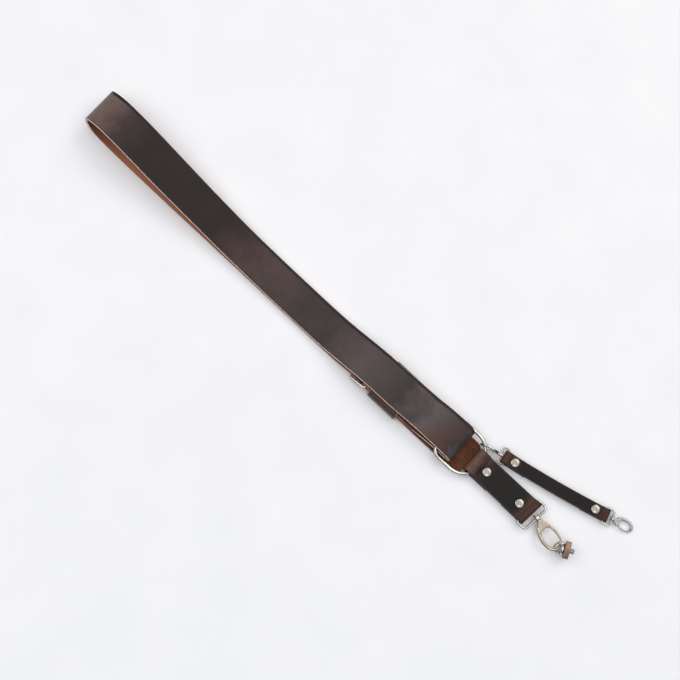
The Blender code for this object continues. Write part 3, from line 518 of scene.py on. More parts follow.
def polished_leather(name, dye_and_sheen, worn, roughness, band_width, wear_reach=0.0018, shine=0.2):
    """Dyed leather with pebbled grain, uneven tone, painted shade in the grain's creases, and rubbed edges.

    The dye_and_sheen is one colour, or rows of a place along the drawing and its colour; some rows are painted
    sheen.
    """
    if not isinstance(dye_and_sheen[0], tuple):
        dye_and_sheen = ((0.0, dye_and_sheen), (DRAWING_END, dye_and_sheen))
    mat, tree, shader = new_material(name, dye_and_sheen[0][1], roughness)
    shader.inputs["Specular IOR Level"].default_value = shine
    grained = add_node(tree, "ShaderNodeGroup", node_tree=grain)
    edges = add_node(tree, "ShaderNodeGroup", node_tree=wear)
    edges.inputs["Band Width"].default_value = band_width
    edges.inputs["Reach"].default_value = wear_reach
    patch = grained.outputs["Patch"]
    drift = maths(tree, "MULTIPLY_ADD", patch, 0.05, -0.025)
    run = along_drawing(tree, DRAWING_END, drift)
    # The colour along the drawing, with painted sheen where its rows give it.
    colours = ramp(tree, run, [(x / DRAWING_END, colour) for x, colour in dye_and_sheen])
    depth = ramp(tree, patch, [(0.3, (0.68, 0.76, 0.79)), (0.7, (1.34, 1.14, 1.07))])
    # Painted shade: the colour falls to 0.72 in the grain's creases.
    crease_shade = spread(tree, grained.outputs["Crease"], 0.0, 1.0, 0.72)
    shade = blended(tree, 1.0, depth, crease_shade, "MULTIPLY")
    rubbed = blended(tree, edges.outputs["Wear"], colours, (*worn, 1.0))
    tree.links.new(blended(tree, 1.0, rubbed, shade, "MULTIPLY"), shader.inputs["Base Color"])
    gloss = spread(tree, patch, 0.0, 1.0, roughness - 0.08, roughness + 0.1)
    tree.links.new(gloss, shader.inputs["Roughness"])
    relief = maths(tree, "ADD", grained.outputs["Height"], edges.outputs["Crease Line"])
    bump(tree, shader, relief, 0.00012, 0.55)
    return mat


def suede(name, dark, light, painted_light_colour=None):
    """The raw flesh side, short matted fibres; painted_light_colour is painted light where the folded loop lies
    open.
    """
    mat, tree, shader = new_material(name, light, 0.92)
    shader.inputs["Specular IOR Level"].default_value = 0.12
    grained = add_node(tree, "ShaderNodeGroup", node_tree=grain)
    grained.inputs["Patch Size"].default_value = 0.012
    mixed = maths(tree, "ADD", grained.outputs["Patch"], grained.outputs["Fibre"])
    colour = ramp(tree, maths(tree, "MULTIPLY", mixed, 0.5), [(0.38, dark), (0.62, light)])
    if painted_light_colour:
        # Painted light: the paler colour is laid on fully from x 63 to 210, a fifth of it in the loop's nose, none
        # from x 350.
        run = along_drawing(tree, 350)
        painted_light_share = ramp(tree, run, [(0.04, (0.2,) * 3), (0.18, (1.0,) * 3), (0.6, (1.0,) * 3), (1.0, (0.0,) * 3)])
        colour = blended(tree, painted_light_share, colour, (*painted_light_colour, 1.0))
    tree.links.new(colour, shader.inputs["Base Color"])
    shader.inputs["Sheen Weight"].default_value = 0.12
    shader.inputs["Sheen Roughness"].default_value = 0.5
    bump(tree, shader, grained.outputs["Fibre"], 0.0003, 0.7)
    return mat


def cut_edge(name, dark, light, dull=None):
    """The pale core of the leather, where it was cut and sanded; dull is its colour outside the strap's top leg."""
    mat, tree, shader = new_material(name, light, 0.7)
    grained = add_node(tree, "ShaderNodeGroup", node_tree=grain)
    colour = ramp(tree, grained.outputs["Fibre"], [(0.35, dark), (0.6, light)])
    if dull:
        run = spread(tree, axis(tree, "X", "UV"), 0.0, 1.25)
        upper = ramp(
            tree, run, [(0.395, (0.0,) * 3), (0.405, (1.0,) * 3), (0.842, (1.0,) * 3), (0.85, (0.0,) * 3)]
        )
        colour = blended(tree, upper, (*dull, 1.0), colour)
    tree.links.new(colour, shader.inputs["Base Color"])
    bump(tree, shader, grained.outputs["Fibre"], 0.0002, 0.6)
    return mat


# Rows of a place along the drawing and its colour: the dye, with painted sheen. The pale loop nose (x 0 to 18) is
# leather paled where it is stretched and painted sheen; the light rows at x 375 and 455 are partly painted sheen on
# the slopes by the keeper; the grey rows at x 490.5 and 497 are a painted sheen band on the fold round the ring.
STRAP_DYE_AND_SHEEN = (
    (0.0, (0.19, 0.13, 0.115)),
    (18.0, (0.165, 0.11, 0.097)),
    (42.0, (0.05, 0.031, 0.026)),
    (70.0, (0.025, 0.0135, 0.012)),
    (180.0, (0.023, 0.012, 0.011)),
    (245.0, (0.08, 0.049, 0.045)),
    (285.0, (0.06, 0.038, 0.036)),
    (330.0, (0.054, 0.037, 0.036)),
    (375.0, (0.09, 0.068, 0.067)),
    (425.0, (0.042, 0.03, 0.03)),
    (455.0, (0.12, 0.09, 0.086)),
    (472.0, (0.08, 0.05, 0.044)),
    (480.5, (0.078, 0.036, 0.027)),
    (487.0, (0.048, 0.026, 0.022)),
    (490.5, (0.056, 0.05, 0.05)),
    (497.0, (0.075, 0.07, 0.072)),
)
strap_grain = polished_leather("strap_grain", STRAP_DYE_AND_SHEEN, (0.022, 0.015, 0.013), 0.42, 0.0375, 0.0012)
# Its third colour is painted light on the suede along the strap's lower leg.
strap_suede = suede("strap_suede", (0.06, 0.018, 0.009), (0.14, 0.05, 0.026), (0.4, 0.16, 0.09))
strap_edge = cut_edge("strap_edge", (0.5, 0.33, 0.26), (0.8, 0.6, 0.5), (0.3, 0.14, 0.095))

strap_rows = list(STRAP_ROWS + LOOP_ROWS + TOP_LEG_ROWS)
strap_rows += bend(RING_FOLD, RING_FOLD_RADIUS, 90.0, 0.0, 5, (3.9, 39.1), (3.0, 37.3))
strap_rows += bend(RING_FOLD, RING_FOLD_RADIUS, -18.0, -90.0, 4, (3.0, 37.3), (3.0, 37.3))
strap_rows += RETURN_ROWS
strap_rows += bend(HEEL_BAR, HEEL_FOLD_RADIUS, 270.0, 90.0, 10, (0.0, 37.5), (0.0, 37.5))
strap_rows += SEWN_END_ROWS
sections = []
for x, z, y, width in smooth(strap_rows, ROW_SPACING):
    skew = LOOP_SKEW * min(1.0, max(0.0, (SKEW_START - x) / SKEW_RUN))
    sections.append(((x - skew / 2, y - width / 2, z), (x + skew / 2, y + width / 2, z)))
main_strap = leather_band("main_strap_leather", sections, STRAP_THICKNESS, [strap_grain, strap_suede, strap_edge])

bm = bmesh.new()
for x, height in TONGUE_HOLES:
    radius = TONGUE_HOLE_RADIUS * MM
    made = bmesh.ops.create_cone(
        bm, cap_ends=True, segments=28, radius1=radius, radius2=radius, depth=HOLE_DEPTH * MM
    )
    bmesh.ops.translate(bm, verts=made["verts"], vec=at(x, 0.0, height))
made = bmesh.ops.create_cube(bm, size=MM)
bmesh.ops.scale(bm, verts=made["verts"], vec=(10.2, 3.0, 7.0))
bmesh.ops.translate(bm, verts=made["verts"], vec=at(383.2, 0.0, 5.9))
holes = finished(bm, "holes")

# The prong's eye turns in a slot of the fold round the heel bar.
bm = bmesh.new()
radius = SLOT_RADIUS * MM
bmesh.ops.create_cone(bm, cap_ends=True, segments=40, radius1=radius, radius2=radius, depth=SLOT_WIDTH * MM)
bmesh.ops.rotate(bm, verts=bm.verts, matrix=Matrix.Rotation(math.radians(90), 3, "X"))
bmesh.ops.translate(bm, verts=bm.verts, vec=at(HEEL_BAR[0], 0.0, HEEL_BAR[1]))
slot = finished(bm, "slot")
for tool in (holes, slot):
    tool.materials.append(strap_edge)
    cut(main_strap, tool)
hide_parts("main_strap")
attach(main_strap, "strap")


# The keeper.
# A wide sleeve of the same leather that holds the tail and the buckle end together.
# Its ends are cut square and left pale.

KEEPER_WIDTH, KEEPER_HEIGHT, KEEPER_CORNER = 42.2, 11.8, 2.4
KEEPER_START, KEEPER_END, KEEPER_MIDDLE = 396.0, 431.0, 6.9  # x, x and height
KEEPER_THICKNESS, KEEPER_SPACING = 2.0, 3.0
keeper_grain = polished_leather("keeper_grain", (0.066, 0.036, 0.031), (0.16, 0.1, 0.08), 0.38, 0.035, 0.0014)


def rounded_outline(width, height, front, back, steps):
    """A rectangle round the origin with corners rounded by front on its +X side and back on its -X side."""
    outline = []
    for turn, (sx, sy) in enumerate(((1, 1), (-1, 1), (-1, -1), (1, -1))):
        corner = front if sx > 0 else back
        for k in range(steps + 1):
            angle = math.radians(90 * turn + 90 * k / steps)
            outline.append(
                (
                    sx * (width / 2 - corner) + corner * math.cos(angle),
                    sy * (height / 2 - corner) + corner * math.sin(angle),
                    0.0,
                )
            )
    return outline


corners = rounded_outline(KEEPER_WIDTH, KEEPER_HEIGHT, KEEPER_CORNER, KEEPER_CORNER, 6)
corners = [Vector((0.0, y, KEEPER_MIDDLE + z)) for y, z, _ in corners]
start, end = Vector((KEEPER_START, 0.0, 0.0)), Vector((KEEPER_END, 0.0, 0.0))
sections = []
for corner, following in zip(corners, corners[1:] + corners[:1]):
    steps = max(1, round((following - corner).length / KEEPER_SPACING))
    for k in range(steps):
        place = corner.lerp(following, k / steps)
        sections.append((start + place, end + place))
mats = [keeper_grain, strap_suede, strap_edge]
keeper = leather_band("keeper_leather", sections, KEEPER_THICKNESS, mats, 0.35, 12, True)
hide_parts("keeper")
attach(keeper, "strap")


# The D-ring, the buckle and its prong.
# Bent from round nickel-plated steel wire; the plating is bright, a little warm and finely scratched.

plating, given = node_group("scratched_plating", (("Roughness", 0.16),), ("Roughness", "Height", "Tarnish"))
place = coordinates(plating)
brushed = add_node(
    plating, "ShaderNodeMapping", [("Vector", place), ("Scale", (1.0, 0.08, 0.3)), ("Rotation", (0.4, 0.3, 0.9))]
)
scratches = clouds(plating, brushed.outputs[0], 4200.0, 2.0)
stains = clouds(plating, place, 160.0, 5.0).outputs["Fac"]
uneven = spread(plating, stains, 0.3, 0.75, -0.05, 0.16)
add_node(
    plating,
    "NodeGroupOutput",
    [
        ("Roughness", maths(plating, "ADD", given.outputs["Roughness"], uneven)),
        ("Height", scratches.outputs["Fac"]),
        ("Tarnish", spread(plating, stains, 0.45, 0.75)),
    ],
)


def plated(name, bright, dull, roughness):
    """Plated metal, bright with dull tarnished patches."""
    mat, tree, shader = new_material(name, bright, roughness, 1.0)
    scratched = add_node(tree, "ShaderNodeGroup", node_tree=plating)
    scratched.inputs["Roughness"].default_value = roughness
    colour = ramp(tree, scratched.outputs["Tarnish"], [(0.0, bright), (1.0, dull)])
    tree.links.new(colour, shader.inputs["Base Color"])
    tree.links.new(scratched.outputs["Roughness"], shader.inputs["Roughness"])
    bump(tree, shader, scratched.outputs["Height"], 0.00003, 0.14)
    return mat


ring_plating = plated("ring_plating", (0.6, 0.57, 0.52), (0.42, 0.38, 0.33), 0.12)
snap_plating = plated("snap_plating", (0.47, 0.375, 0.285), (0.36, 0.28, 0.2), 0.16)
screw_steel = plated("screw_steel", (0.58, 0.565, 0.55), (0.42, 0.41, 0.4), 0.2)


def spot(place, yaw=0.0, pitch=0.0, roll=0.0):
    """The place and turn of a piece's own drawing; pitch lifts its +X end."""
    turn = Matrix.Rotation(math.radians(yaw), 4, "Z") @ Matrix.Rotation(math.radians(-pitch), 4, "Y")
    turn = turn @ Matrix.Rotation(math.radians(roll), 4, "X")
    return Matrix.Translation(Vector(place)) @ turn


def wire_mesh(name, points, radius, where=None, closed=False, radii=None, sides=16):
    """The mesh of a round wire along points in millimetres."""
    curve = bpy.data.curves.new(name, "CURVE")
    curve.dimensions = "3D"
    curve.bevel_depth = radius * MM
    curve.bevel_resolution = (sides - 4) // 2
    curve.use_fill_caps = True
    line = curve.splines.new("POLY")
    line.points.add(len(points) - 1)
    for i, point in enumerate(points):
        place = where @ Vector(point) if where else point
        line.points[i].co = (*at(*place), 1.0)
        line.points[i].radius = radii[i] / radius if radii else 1.0
    line.use_cyclic_u = closed
    line.use_smooth = True
    holder = linked(name, curve)
    mesh = evaluated(holder)
    bpy.data.objects.remove(holder)
    bm = bmesh.new()
    bm.from_mesh(mesh)
    bmesh.ops.remove_doubles(bm, verts=bm.verts, dist=0.001 * MM)
    bmesh.ops.recalc_face_normals(bm, faces=bm.faces)
    bm.to_mesh(mesh)
    bm.free()
    mesh.name = name
    mesh.materials.clear()
    return mesh


def bent_wire(name, points, radius, mats, where=None, closed=False, radii=None, sides=16):
    """A piece of bent round wire."""
    return add_piece(name, wire_mesh(name, points, radius, where, closed, radii, sides), mats)


RING_START, RING_END, RING_SHIFT = (478.3, 9.0), (519.5, 5.0), 1.65  # x and height of its ends, and its y
RING_HALF_WIDTH, RING_CORNER, RING_BOW = 21.9, 7.7, 22.0
RING_WIRE, BUCKLE_WIRE, PRONG_WIRE = 1.8, 1.3, 0.9  # radii
BUCKLE_FAR_BAR, BUCKLE_WIDTH, BUCKLE_CORNER = (372.6, 4.1), 40.9, 1.7
PRONG_TIP = Vector((371.0, 0.0, 1.05))
PRONG_EYE, PRONG_WRAP = 2.5, 250.0  # the radius of its eye, and how many degrees it wraps

ring_length = math.dist(RING_START, RING_END)
ring_slope = math.degrees(math.asin((RING_END[1] - RING_START[1]) / ring_length))


def ring_corner(side, first):
    """A quarter turn beside the straight bar, from an angle in degrees."""
    corner = []
    for k in range(9):
        angle = math.radians(first + 90 * k / 8)
        y = side * (RING_HALF_WIDTH - RING_CORNER) + RING_CORNER * math.sin(angle)
        corner.append((RING_CORNER + RING_CORNER * math.cos(angle), y, 0.0))
    return corner


outline = ring_corner(-1, 180)
for k in range(61):
    angle = math.radians(-90 + 180 * k / 60)
    x = ring_length - RING_BOW + RING_BOW * abs(math.cos(angle)) ** 0.8
    outline.append((x, RING_HALF_WIDTH * math.copysign(abs(math.sin(angle)) ** 0.8, math.sin(angle)), 0.0))
outline += ring_corner(1, 90)
ring_spot = spot((RING_START[0], RING_SHIFT, RING_START[1]), 1.5, ring_slope)
ring = bent_wire("d_ring_wire", outline, RING_WIRE, [ring_plating], ring_spot, True, sides=24)
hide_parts("ring")

far_bar, heel_bar = (Vector((x, 0.0, z)) for x, z in (BUCKLE_FAR_BAR, HEEL_BAR))
slope = math.degrees(math.atan2(heel_bar.z - far_bar.z, heel_bar.x - far_bar.x))
buckle_spot = spot((far_bar + heel_bar) / 2, 0.0, slope)
outline = rounded_outline((heel_bar - far_bar).length, BUCKLE_WIDTH, BUCKLE_CORNER, BUCKLE_CORNER, 6)
buckle = bent_wire("buckle_wire", outline, BUCKLE_WIRE, [ring_plating], buckle_spot, True, sides=20)
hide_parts("buckle_frame")

reach = (PRONG_TIP - heel_bar).length
leave = math.atan2(PRONG_TIP.z - heel_bar.z, PRONG_TIP.x - heel_bar.x) + math.acos(PRONG_EYE / reach)
points = []
for k in range(33):
    angle = leave + math.radians(PRONG_WRAP * (1 - k / 32))
    points.append((heel_bar.x + PRONG_EYE * math.cos(angle), 0.0, heel_bar.z + PRONG_EYE * math.sin(angle)))
last = Vector(points[-1])
for k in range(1, 9):
    points.append(last.lerp(PRONG_TIP, k / 8))
radii = [PRONG_WIRE] * 37 + [0.88, 0.8, 0.66, 0.4]
prong = bent_wire("buckle_prong_wire", points, PRONG_WIRE, [ring_plating], radii=radii)
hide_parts("buckle_prong")
for obj in (ring, buckle, prong):
    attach(obj, "strap")


# The connector and the safety strap.
# Narrower straps of dark brown leather, each folded round a ring at both ends and riveted.
# They are polished and redder where the fold has stretched them; the connector's near fold also carries a painted
# highlight.

CONNECTOR_THICKNESS, CONNECTOR_SPACING = 2.6, 1.5
SAFETY_THICKNESS, SAFETY_SPACING = 2.4, 1.5
SAFETY_START = Vector((534.7, 26.1, 0.0))
SAFETY_LENGTH = 108.2
SAFETY_HEADING, SAFETY_END_HEADING = 10.8, 16.4  # degrees in the plan
SAFETY_WIDTH, SAFETY_FLARE, FLARE_RUN = 12.5, 0.6, 6.0  # it is a little narrower at its folds
SAFETY_RIVETS = (9.4, 97.2)  # along the strap
CONNECTOR_RIVETS = ((530.0, 2.1), (572.2, 1.5))  # x and y
RIVET_HOLE_RADIUS = 2.1
# The light reddish rows at x 505 and 514, on the near fold, are a painted highlight on leather reddened by the fold.
CONNECTOR_DYE_AND_SHEEN = (
    (505.0, (0.19, 0.105, 0.075)),
    (514.0, (0.16, 0.086, 0.062)),
    (520.0, (0.085, 0.045, 0.034)),
    (526.0, (0.03, 0.017, 0.014)),
    (540.0, (0.014, 0.0085, 0.0075)),
    (566.0, (0.014, 0.0085, 0.0075)),
    (578.0, (0.078, 0.036, 0.026)),
    (590.0, (0.07, 0.032, 0.023)),
)
SAFETY_DYE = (
    (530.0, (0.1, 0.042, 0.028)),
    (537.0, (0.07, 0.031, 0.022)),
    (548.0, (0.014, 0.0075, 0.0065)),
    (628.0, (0.012, 0.0065, 0.006)),
    (636.0, (0.045, 0.02, 0.015)),
    (644.0, (0.07, 0.03, 0.022)),
)
connector_grain = polished_leather("connector_grain", CONNECTOR_DYE_AND_SHEEN, (0.05, 0.025, 0.018), 0.4, 0.0266, 0.0012, 0.16)
safety_grain = polished_leather("safety_grain", SAFETY_DYE, (0.045, 0.022, 0.016), 0.4, 0.0131, 0.0009, 0.16)
# Painted shade: the connector's and safety strap's pale cut edges are coloured nearly black.
shaded_connector_edge = cut_edge("shaded_connector_edge", (0.016, 0.01, 0.009), (0.045, 0.026, 0.021))

# Rows of x, height of the middle, y, width and how far the row is askew.
plain = (2.4, 26.6, 0.0)
folded = (2.4, 26.6, 2.4)
rows = [(541.0, 2.5, *plain), (530.0, 2.5, *plain), (524.5, 2.4, *plain), (520.0, 1.65, *plain)]
rows += bend((516.1, 5.2), 3.65, 270.0, 90.0, 12, plain, plain)
rows += [(519.0, 8.7, *plain), (521.7, 7.7, *plain), (523.7, 6.4, *plain), (525.5, 5.75, *plain)]
rows += [(530.0, 5.6, *plain), (536.0, 5.5, *plain), (552.0, 5.4, *plain), (567.0, 5.45, *plain)]
rows += [(572.3, 5.5, *plain)]
rows += [(577.5, 5.5, 2.4, 26.6, 0.6), (580.0, 5.9, 2.4, 26.6, 1.4), (581.8, 6.8, 2.4, 26.6, 2.0)]
rows += bend((583.7, 4.5), 3.15, 90.0, -90.0, 12, folded, folded)
rows += [(581.4, 1.5, 2.4, 26.6, 1.9), (579.4, 2.2, 2.4, 26.6, 1.2), (577.5, 2.5, 2.4, 26.6, 0.6)]
rows += [(572.3, 2.5, *plain), (561.0, 2.5, *plain)]
sections = []
for x, z, y, width, skew in smooth(rows, CONNECTOR_SPACING):
    sections.append(((x - skew / 2, y - width / 2, z), (x + skew / 2, y + width / 2, z)))
mats = [connector_grain, strap_suede, shaded_connector_edge]
connector = leather_band("connector_leather", sections, CONNECTOR_THICKNESS, mats, 0.5, 14)

# Rows of the distance along the safety strap and the height of the middle.
rows = [(24.0, 2.4), (15.4, 2.4), (9.4, 2.5), (5.0, 2.7)]
rows += bend((0.0, 4.86), 2.55, 270.0, 90.0, 12, (), ())
rows += [(2.3, 7.0), (4.3, 5.9), (9.4, 5.4), (15.4, 5.1), (50.0, 5.1), (91.2, 5.1)]
rows += [(97.2, 5.1), (102.2, 5.2), (105.2, 6.0)]
rows += bend((SAFETY_LENGTH, 3.8), 2.55, 90.0, -90.0, 12, (), ())
rows += [(105.2, 1.5), (102.2, 2.4), (84.0, 2.4)]


def safety_place(along):
    """The plan point and heading of the safety strap's curve at a distance along it."""
    start = math.radians(SAFETY_HEADING)
    radius = SAFETY_LENGTH / math.radians(SAFETY_END_HEADING - SAFETY_HEADING)
    heading = start + along / radius
    x = SAFETY_START.x + radius * (math.sin(heading) - math.sin(start))
    y = SAFETY_START.y - radius * (math.cos(heading) - math.cos(start))
    return x, y, heading


sections = []
for along, z in smooth(rows, SAFETY_SPACING):
    x, y, heading = safety_place(along)
    from_end = min(along, SAFETY_LENGTH - along)
    half = (SAFETY_WIDTH + SAFETY_FLARE * min(max(from_end / FLARE_RUN, 0.0), 1.0)) / 2
    side = Vector((-math.sin(heading), math.cos(heading), 0.0)) * half
    middle = Vector((x, y, z))
    sections.append((middle - side, middle + side))
mats = [safety_grain, strap_suede, shaded_connector_edge]
safety = leather_band("safety_strap_leather", sections, SAFETY_THICKNESS, mats, 0.45, 10)

safety_rivets = [safety_place(along)[:2] for along in SAFETY_RIVETS]
for obj, places in ((connector, CONNECTOR_RIVETS), (safety, safety_rivets)):
    bm = bmesh.new()
    for x, y in places:
        radius = RIVET_HOLE_RADIUS * MM
        made = bmesh.ops.create_cone(
            bm, cap_ends=True, segments=24, radius1=radius, radius2=radius, depth=14.0 * MM
        )
        bmesh.ops.translate(bm, verts=made["verts"], vec=at(x, y, 5.0))
    holes = finished(bm, "rivet_holes")
    holes.materials.append(shaded_connector_edge)
    cut(obj, holes)
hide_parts("connector_strap")
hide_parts("safety_strap")
for obj in (connector, safety):
    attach(obj, "strap")


# The rivets.
# Two-part tubular rivets with a smooth domed cap, turned and plated, pressed together through the leather.

CAP_RADIUS, CAP_DOME, CAP_RIM = 4.65, 1.28, 0.42
SHANK_RADIUS, FOOT_RADIUS = 1.6, 4.3
rivet_plating = plated("rivet_plating", (0.38, 0.34, 0.28), (0.31, 0.265, 0.2), 0.1)


def turned_piece(name, profile, where, mats, steps=48):
    """A turned piece from a profile of radius and height, in millimetres, round its own Z."""
    bm = bmesh.new()
    verts = [bm.verts.new((radius, 0.0, height)) for radius, height in profile]
    edges = [bm.edges.new((verts[i], verts[i + 1])) for i in range(len(verts) - 1)]
    if profile[0][0] > 0.0:
        edges.append(bm.edges.new((verts[-1], verts[0])))
    bmesh.ops.spin(
        bm, geom=verts + edges, cent=(0, 0, 0), axis=(0, 0, 1), angle=math.tau, steps=steps, use_merge=True
    )
    bmesh.ops.remove_doubles(bm, verts=bm.verts, dist=0.001)
    bmesh.ops.recalc_face_normals(bm, faces=bm.faces)
    for face in bm.faces:
        face.smooth = True
    bmesh.ops.transform(bm, verts=bm.verts, matrix=where)
    to_metres(bm)
    return add_piece(name, finished(bm, name), mats)


# Name, place in the plan, and the height of the cap's rim.
for name, (x, y), rim in (
    ("connector_rivet_near", CONNECTOR_RIVETS[0], 7.45),
    ("connector_rivet_far", CONNECTOR_RIVETS[1], 7.35),
    ("safety_rivet_near", safety_rivets[0], 7.35),
    ("safety_rivet_far", safety_rivets[1], 7.05),
):
    profile = [(0.0, rim + CAP_RIM + CAP_DOME)]
    for k in range(1, 15):
        a = math.radians(90 * k / 15)
        profile.append((CAP_RADIUS * math.sin(a) ** 0.96, rim + CAP_RIM + CAP_DOME * math.cos(a)))
    profile += [(CAP_RADIUS, rim + 0.36), (CAP_RADIUS, rim + 0.12), (CAP_RADIUS - 0.1, rim)]
    profile += [(SHANK_RADIUS, rim), (SHANK_RADIUS, 0.9), (FOOT_RADIUS - 0.1, 0.9), (FOOT_RADIUS, 0.8)]
    profile += [(FOOT_RADIUS, 0.3), (FOOT_RADIUS - 0.3, 0.0), (1.5, 0.0), (1.1, 0.3), (0.0, 0.3)]
    rivet = turned_piece(name + "_turned", profile, Matrix.Translation((x, y, 0.0)), [rivet_plating])
    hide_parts(name)
    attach(rivet, "strap")


# The snap hooks with their swivel eyes and gates.
# Cast zinc, tumbled smooth and plated; a sprung gate turns on a pin in the hook's fork.

# Sizes of the large hook; the small ones are scaled from it. The arm's rows are x, y and radius.
HOOK_ARM = (
    (8.0, -4.2, 1.9),
    (13.0, -6.7, 1.9),
    (18.5, -8.0, 1.8),
    (24.0, -7.9, 1.7),
    (29.3, -6.3, 1.6),
    (32.8, -3.0, 1.5),
    (33.6, 0.9, 1.45),
    (32.0, 4.3, 1.4),
    (29.3, 6.8, 1.3),
)
HOOK_HEAD = (
    (3.0, -1.9),
    (6.0, -3.6),
    (10.0, -5.6),
    (13.4, -6.8),
    (12.7, -3.4),
    (11.9, -0.8),
    (11.6, 1.8),
    (12.4, 4.0),
    (13.7, 6.3),
    (9.8, 6.3),
    (6.0, 4.2),
    (3.0, 2.0),
)
HEAD_THICKNESS, HEAD_ROUNDING = 4.6, 0.75
# Radius, start and end of the collar, the swivel post and its riveted head.
HOOK_POST = ((2.4, 2.2, 4.0), (1.5, -3.4, 3.0), (2.6, -3.8, -2.1))
TIP_RADIUS, GATE_END_RADIUS = 1.28, 0.98
FORK_GAP, FORK_RADIUS, KNUCKLE_RADIUS = 3.1, 3.5, 2.0
PIN_RADIUS, PIN_PLAY = 0.95, 0.12
EYE_BOSS_RADIUS, EYE_BORE_RADIUS, EYE_BOSS_HALF = 3.1, 2.0, 1.6
GATE_PIVOT = (11.4, 4.7)
GATE_ARM = (
    (11.4, 4.7, 1.05),
    (15.0, 6.8, 1.15),
    (19.5, 7.9, 1.15),
    (23.8, 8.1, 1.1),
    (27.0, 7.8, 1.0),
)


def drawn(bm_maker, where):
    """A mesh from bmesh steps in millimetres, set in its place in metres."""
    bm = bmesh.new()
    bm_maker(bm)
    bmesh.ops.transform(bm, verts=bm.verts, matrix=where)
    to_metres(bm)
    return finished(bm, "drawn")


def cylinder(radius, start, end, sides=32):
    """Steps that make a plain cylinder between two points."""
    start, end = Vector(start), Vector(end)

    def steps(bm):
        bmesh.ops.create_cone(
            bm, cap_ends=True, segments=sides, radius1=radius, radius2=radius, depth=(end - start).length
        )
        turn = (end - start).to_track_quat("Z", "Y").to_matrix().to_4x4()
        bmesh.ops.transform(bm, verts=bm.verts, matrix=Matrix.Translation((start + end) / 2) @ turn)

    return steps


def ball(radius, place, where):
    """The mesh of a ball at a place of a piece's own drawing."""
    ball_spot = where @ Matrix.Translation(place)
    return drawn(lambda bm: bmesh.ops.create_icosphere(bm, subdivisions=3, radius=radius), ball_spot)


def slab(outline, thickness, rounding):
    """Steps that make a flat piece with rounded rims."""

    def steps(bm):
        face = bm.faces.new([bm.verts.new((x, y, -thickness / 2)) for x, y in outline])
        raised = bmesh.ops.extrude_face_region(bm, geom=[face])
        tops = [item for item in raised["geom"] if isinstance(item, bmesh.types.BMVert)]
        bmesh.ops.translate(bm, verts=tops, vec=(0.0, 0.0, thickness))
        bmesh.ops.recalc_face_normals(bm, faces=bm.faces)
        bmesh.ops.bevel(
            bm, geom=bm.edges[:], offset=rounding, segments=3, profile=0.5, affect="EDGES", material=-1
        )

    return steps


def cast(name, added, removed, grid, mats, ease=6):
    """One casting from overlapping meshes, less the removed ones, with softened inner corners."""
    bm = bmesh.new()
    for mesh in added:
        bm.from_mesh(mesh)
    obj = linked(name, finished(bm, name))
    fuse = obj.modifiers.new("fuse", "REMESH")
    fuse.mode = "VOXEL"
    fuse.voxel_size = grid * MM
    fuse.use_smooth_shade = True
    mesh = evaluated(obj)
    obj.modifiers.clear()
    obj.data = mesh
    for tool in removed:
        cut(obj, tool)
    tumble = obj.modifiers.new("tumble", "SMOOTH")
    tumble.factor = 0.5
    tumble.iterations = ease
    mesh = evaluated(obj)
    bpy.data.objects.remove(obj)
    mesh.materials.clear()
    for poly in mesh.polygons:
        poly.use_smooth = True
        poly.material_index = 0
    mesh.name = name
    return add_piece(name, mesh, mats)


def rod(name, rows, scale, where):
    """A wire through rows of x, y and radius, and where it ends."""
    rows = smooth(rows, 0.8 * scale)
    points = [(x, y, 0.0) for x, y, _ in rows]
    return wire_mesh(name, points, scale, where, radii=[row[2] for row in rows]), points[-1]


def snap(name, scale, swell, where, grid, mats):
    """The hook with its swivel post, and its gate; the arms of a small hook swell to be a little thicker."""
    arm, arm_end = rod(name, [(x * scale, y * scale, r * scale * swell) for x, y, r in HOOK_ARM], scale, where)
    tip = ball(TIP_RADIUS * scale / swell, arm_end, where)
    outline = [(x * scale, y * scale) for x, y in HOOK_HEAD]
    head = drawn(slab(outline, HEAD_THICKNESS * scale, HEAD_ROUNDING * scale), where)
    post = [
        drawn(cylinder(radius * scale, (start * scale, 0, 0), (end * scale, 0, 0)), where)
        for radius, start, end in HOOK_POST
    ]
    px, py = GATE_PIVOT[0] * scale, GATE_PIVOT[1] * scale
    gap = FORK_GAP * scale / 2
    fork = drawn(cylinder(FORK_RADIUS * scale, (px, py, -gap), (px, py, gap), 48), where)
    hook = cast(name + "_hook_cast", [arm, tip, head, *post], [fork], grid, mats)
    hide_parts(name + "_hook")
    pin_end = HEAD_THICKNESS * scale / 2 + 0.12
    pin_half = [(0.0, pin_end), (0.75 * scale, pin_end - 0.05), (PIN_RADIUS * scale, pin_end - 0.3)]
    pin_profile = pin_half + [(radius, -height) for radius, height in reversed(pin_half)]
    pin = turned_piece(name + "_hook_pin", pin_profile, where @ Matrix.Translation((px, py, 0.0)), mats, 24)
    rows = [(x * scale, y * scale, r * scale * swell) for x, y, r in GATE_ARM]
    rows[0] = (px, py, GATE_ARM[0][2] * scale)
    lever, lever_end = rod(name, rows, scale, where)
    end = ball(GATE_END_RADIUS * scale / swell, lever_end, where)
    knuckle = drawn(cylinder(KNUCKLE_RADIUS * scale, (px, py, -gap + 0.3), (px, py, gap - 0.3)), where)
    bore = drawn(cylinder(PIN_RADIUS * scale + PIN_PLAY, (px, py, -3), (px, py, 3)), where)
    gate = cast(name + "_gate_cast", [lever, end, knuckle], [bore], grid, mats, 4)
    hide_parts(name + "_gate")
    for obj in (hook, pin):
        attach(obj, name + "_hook")
    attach(gate, name + "_gate")


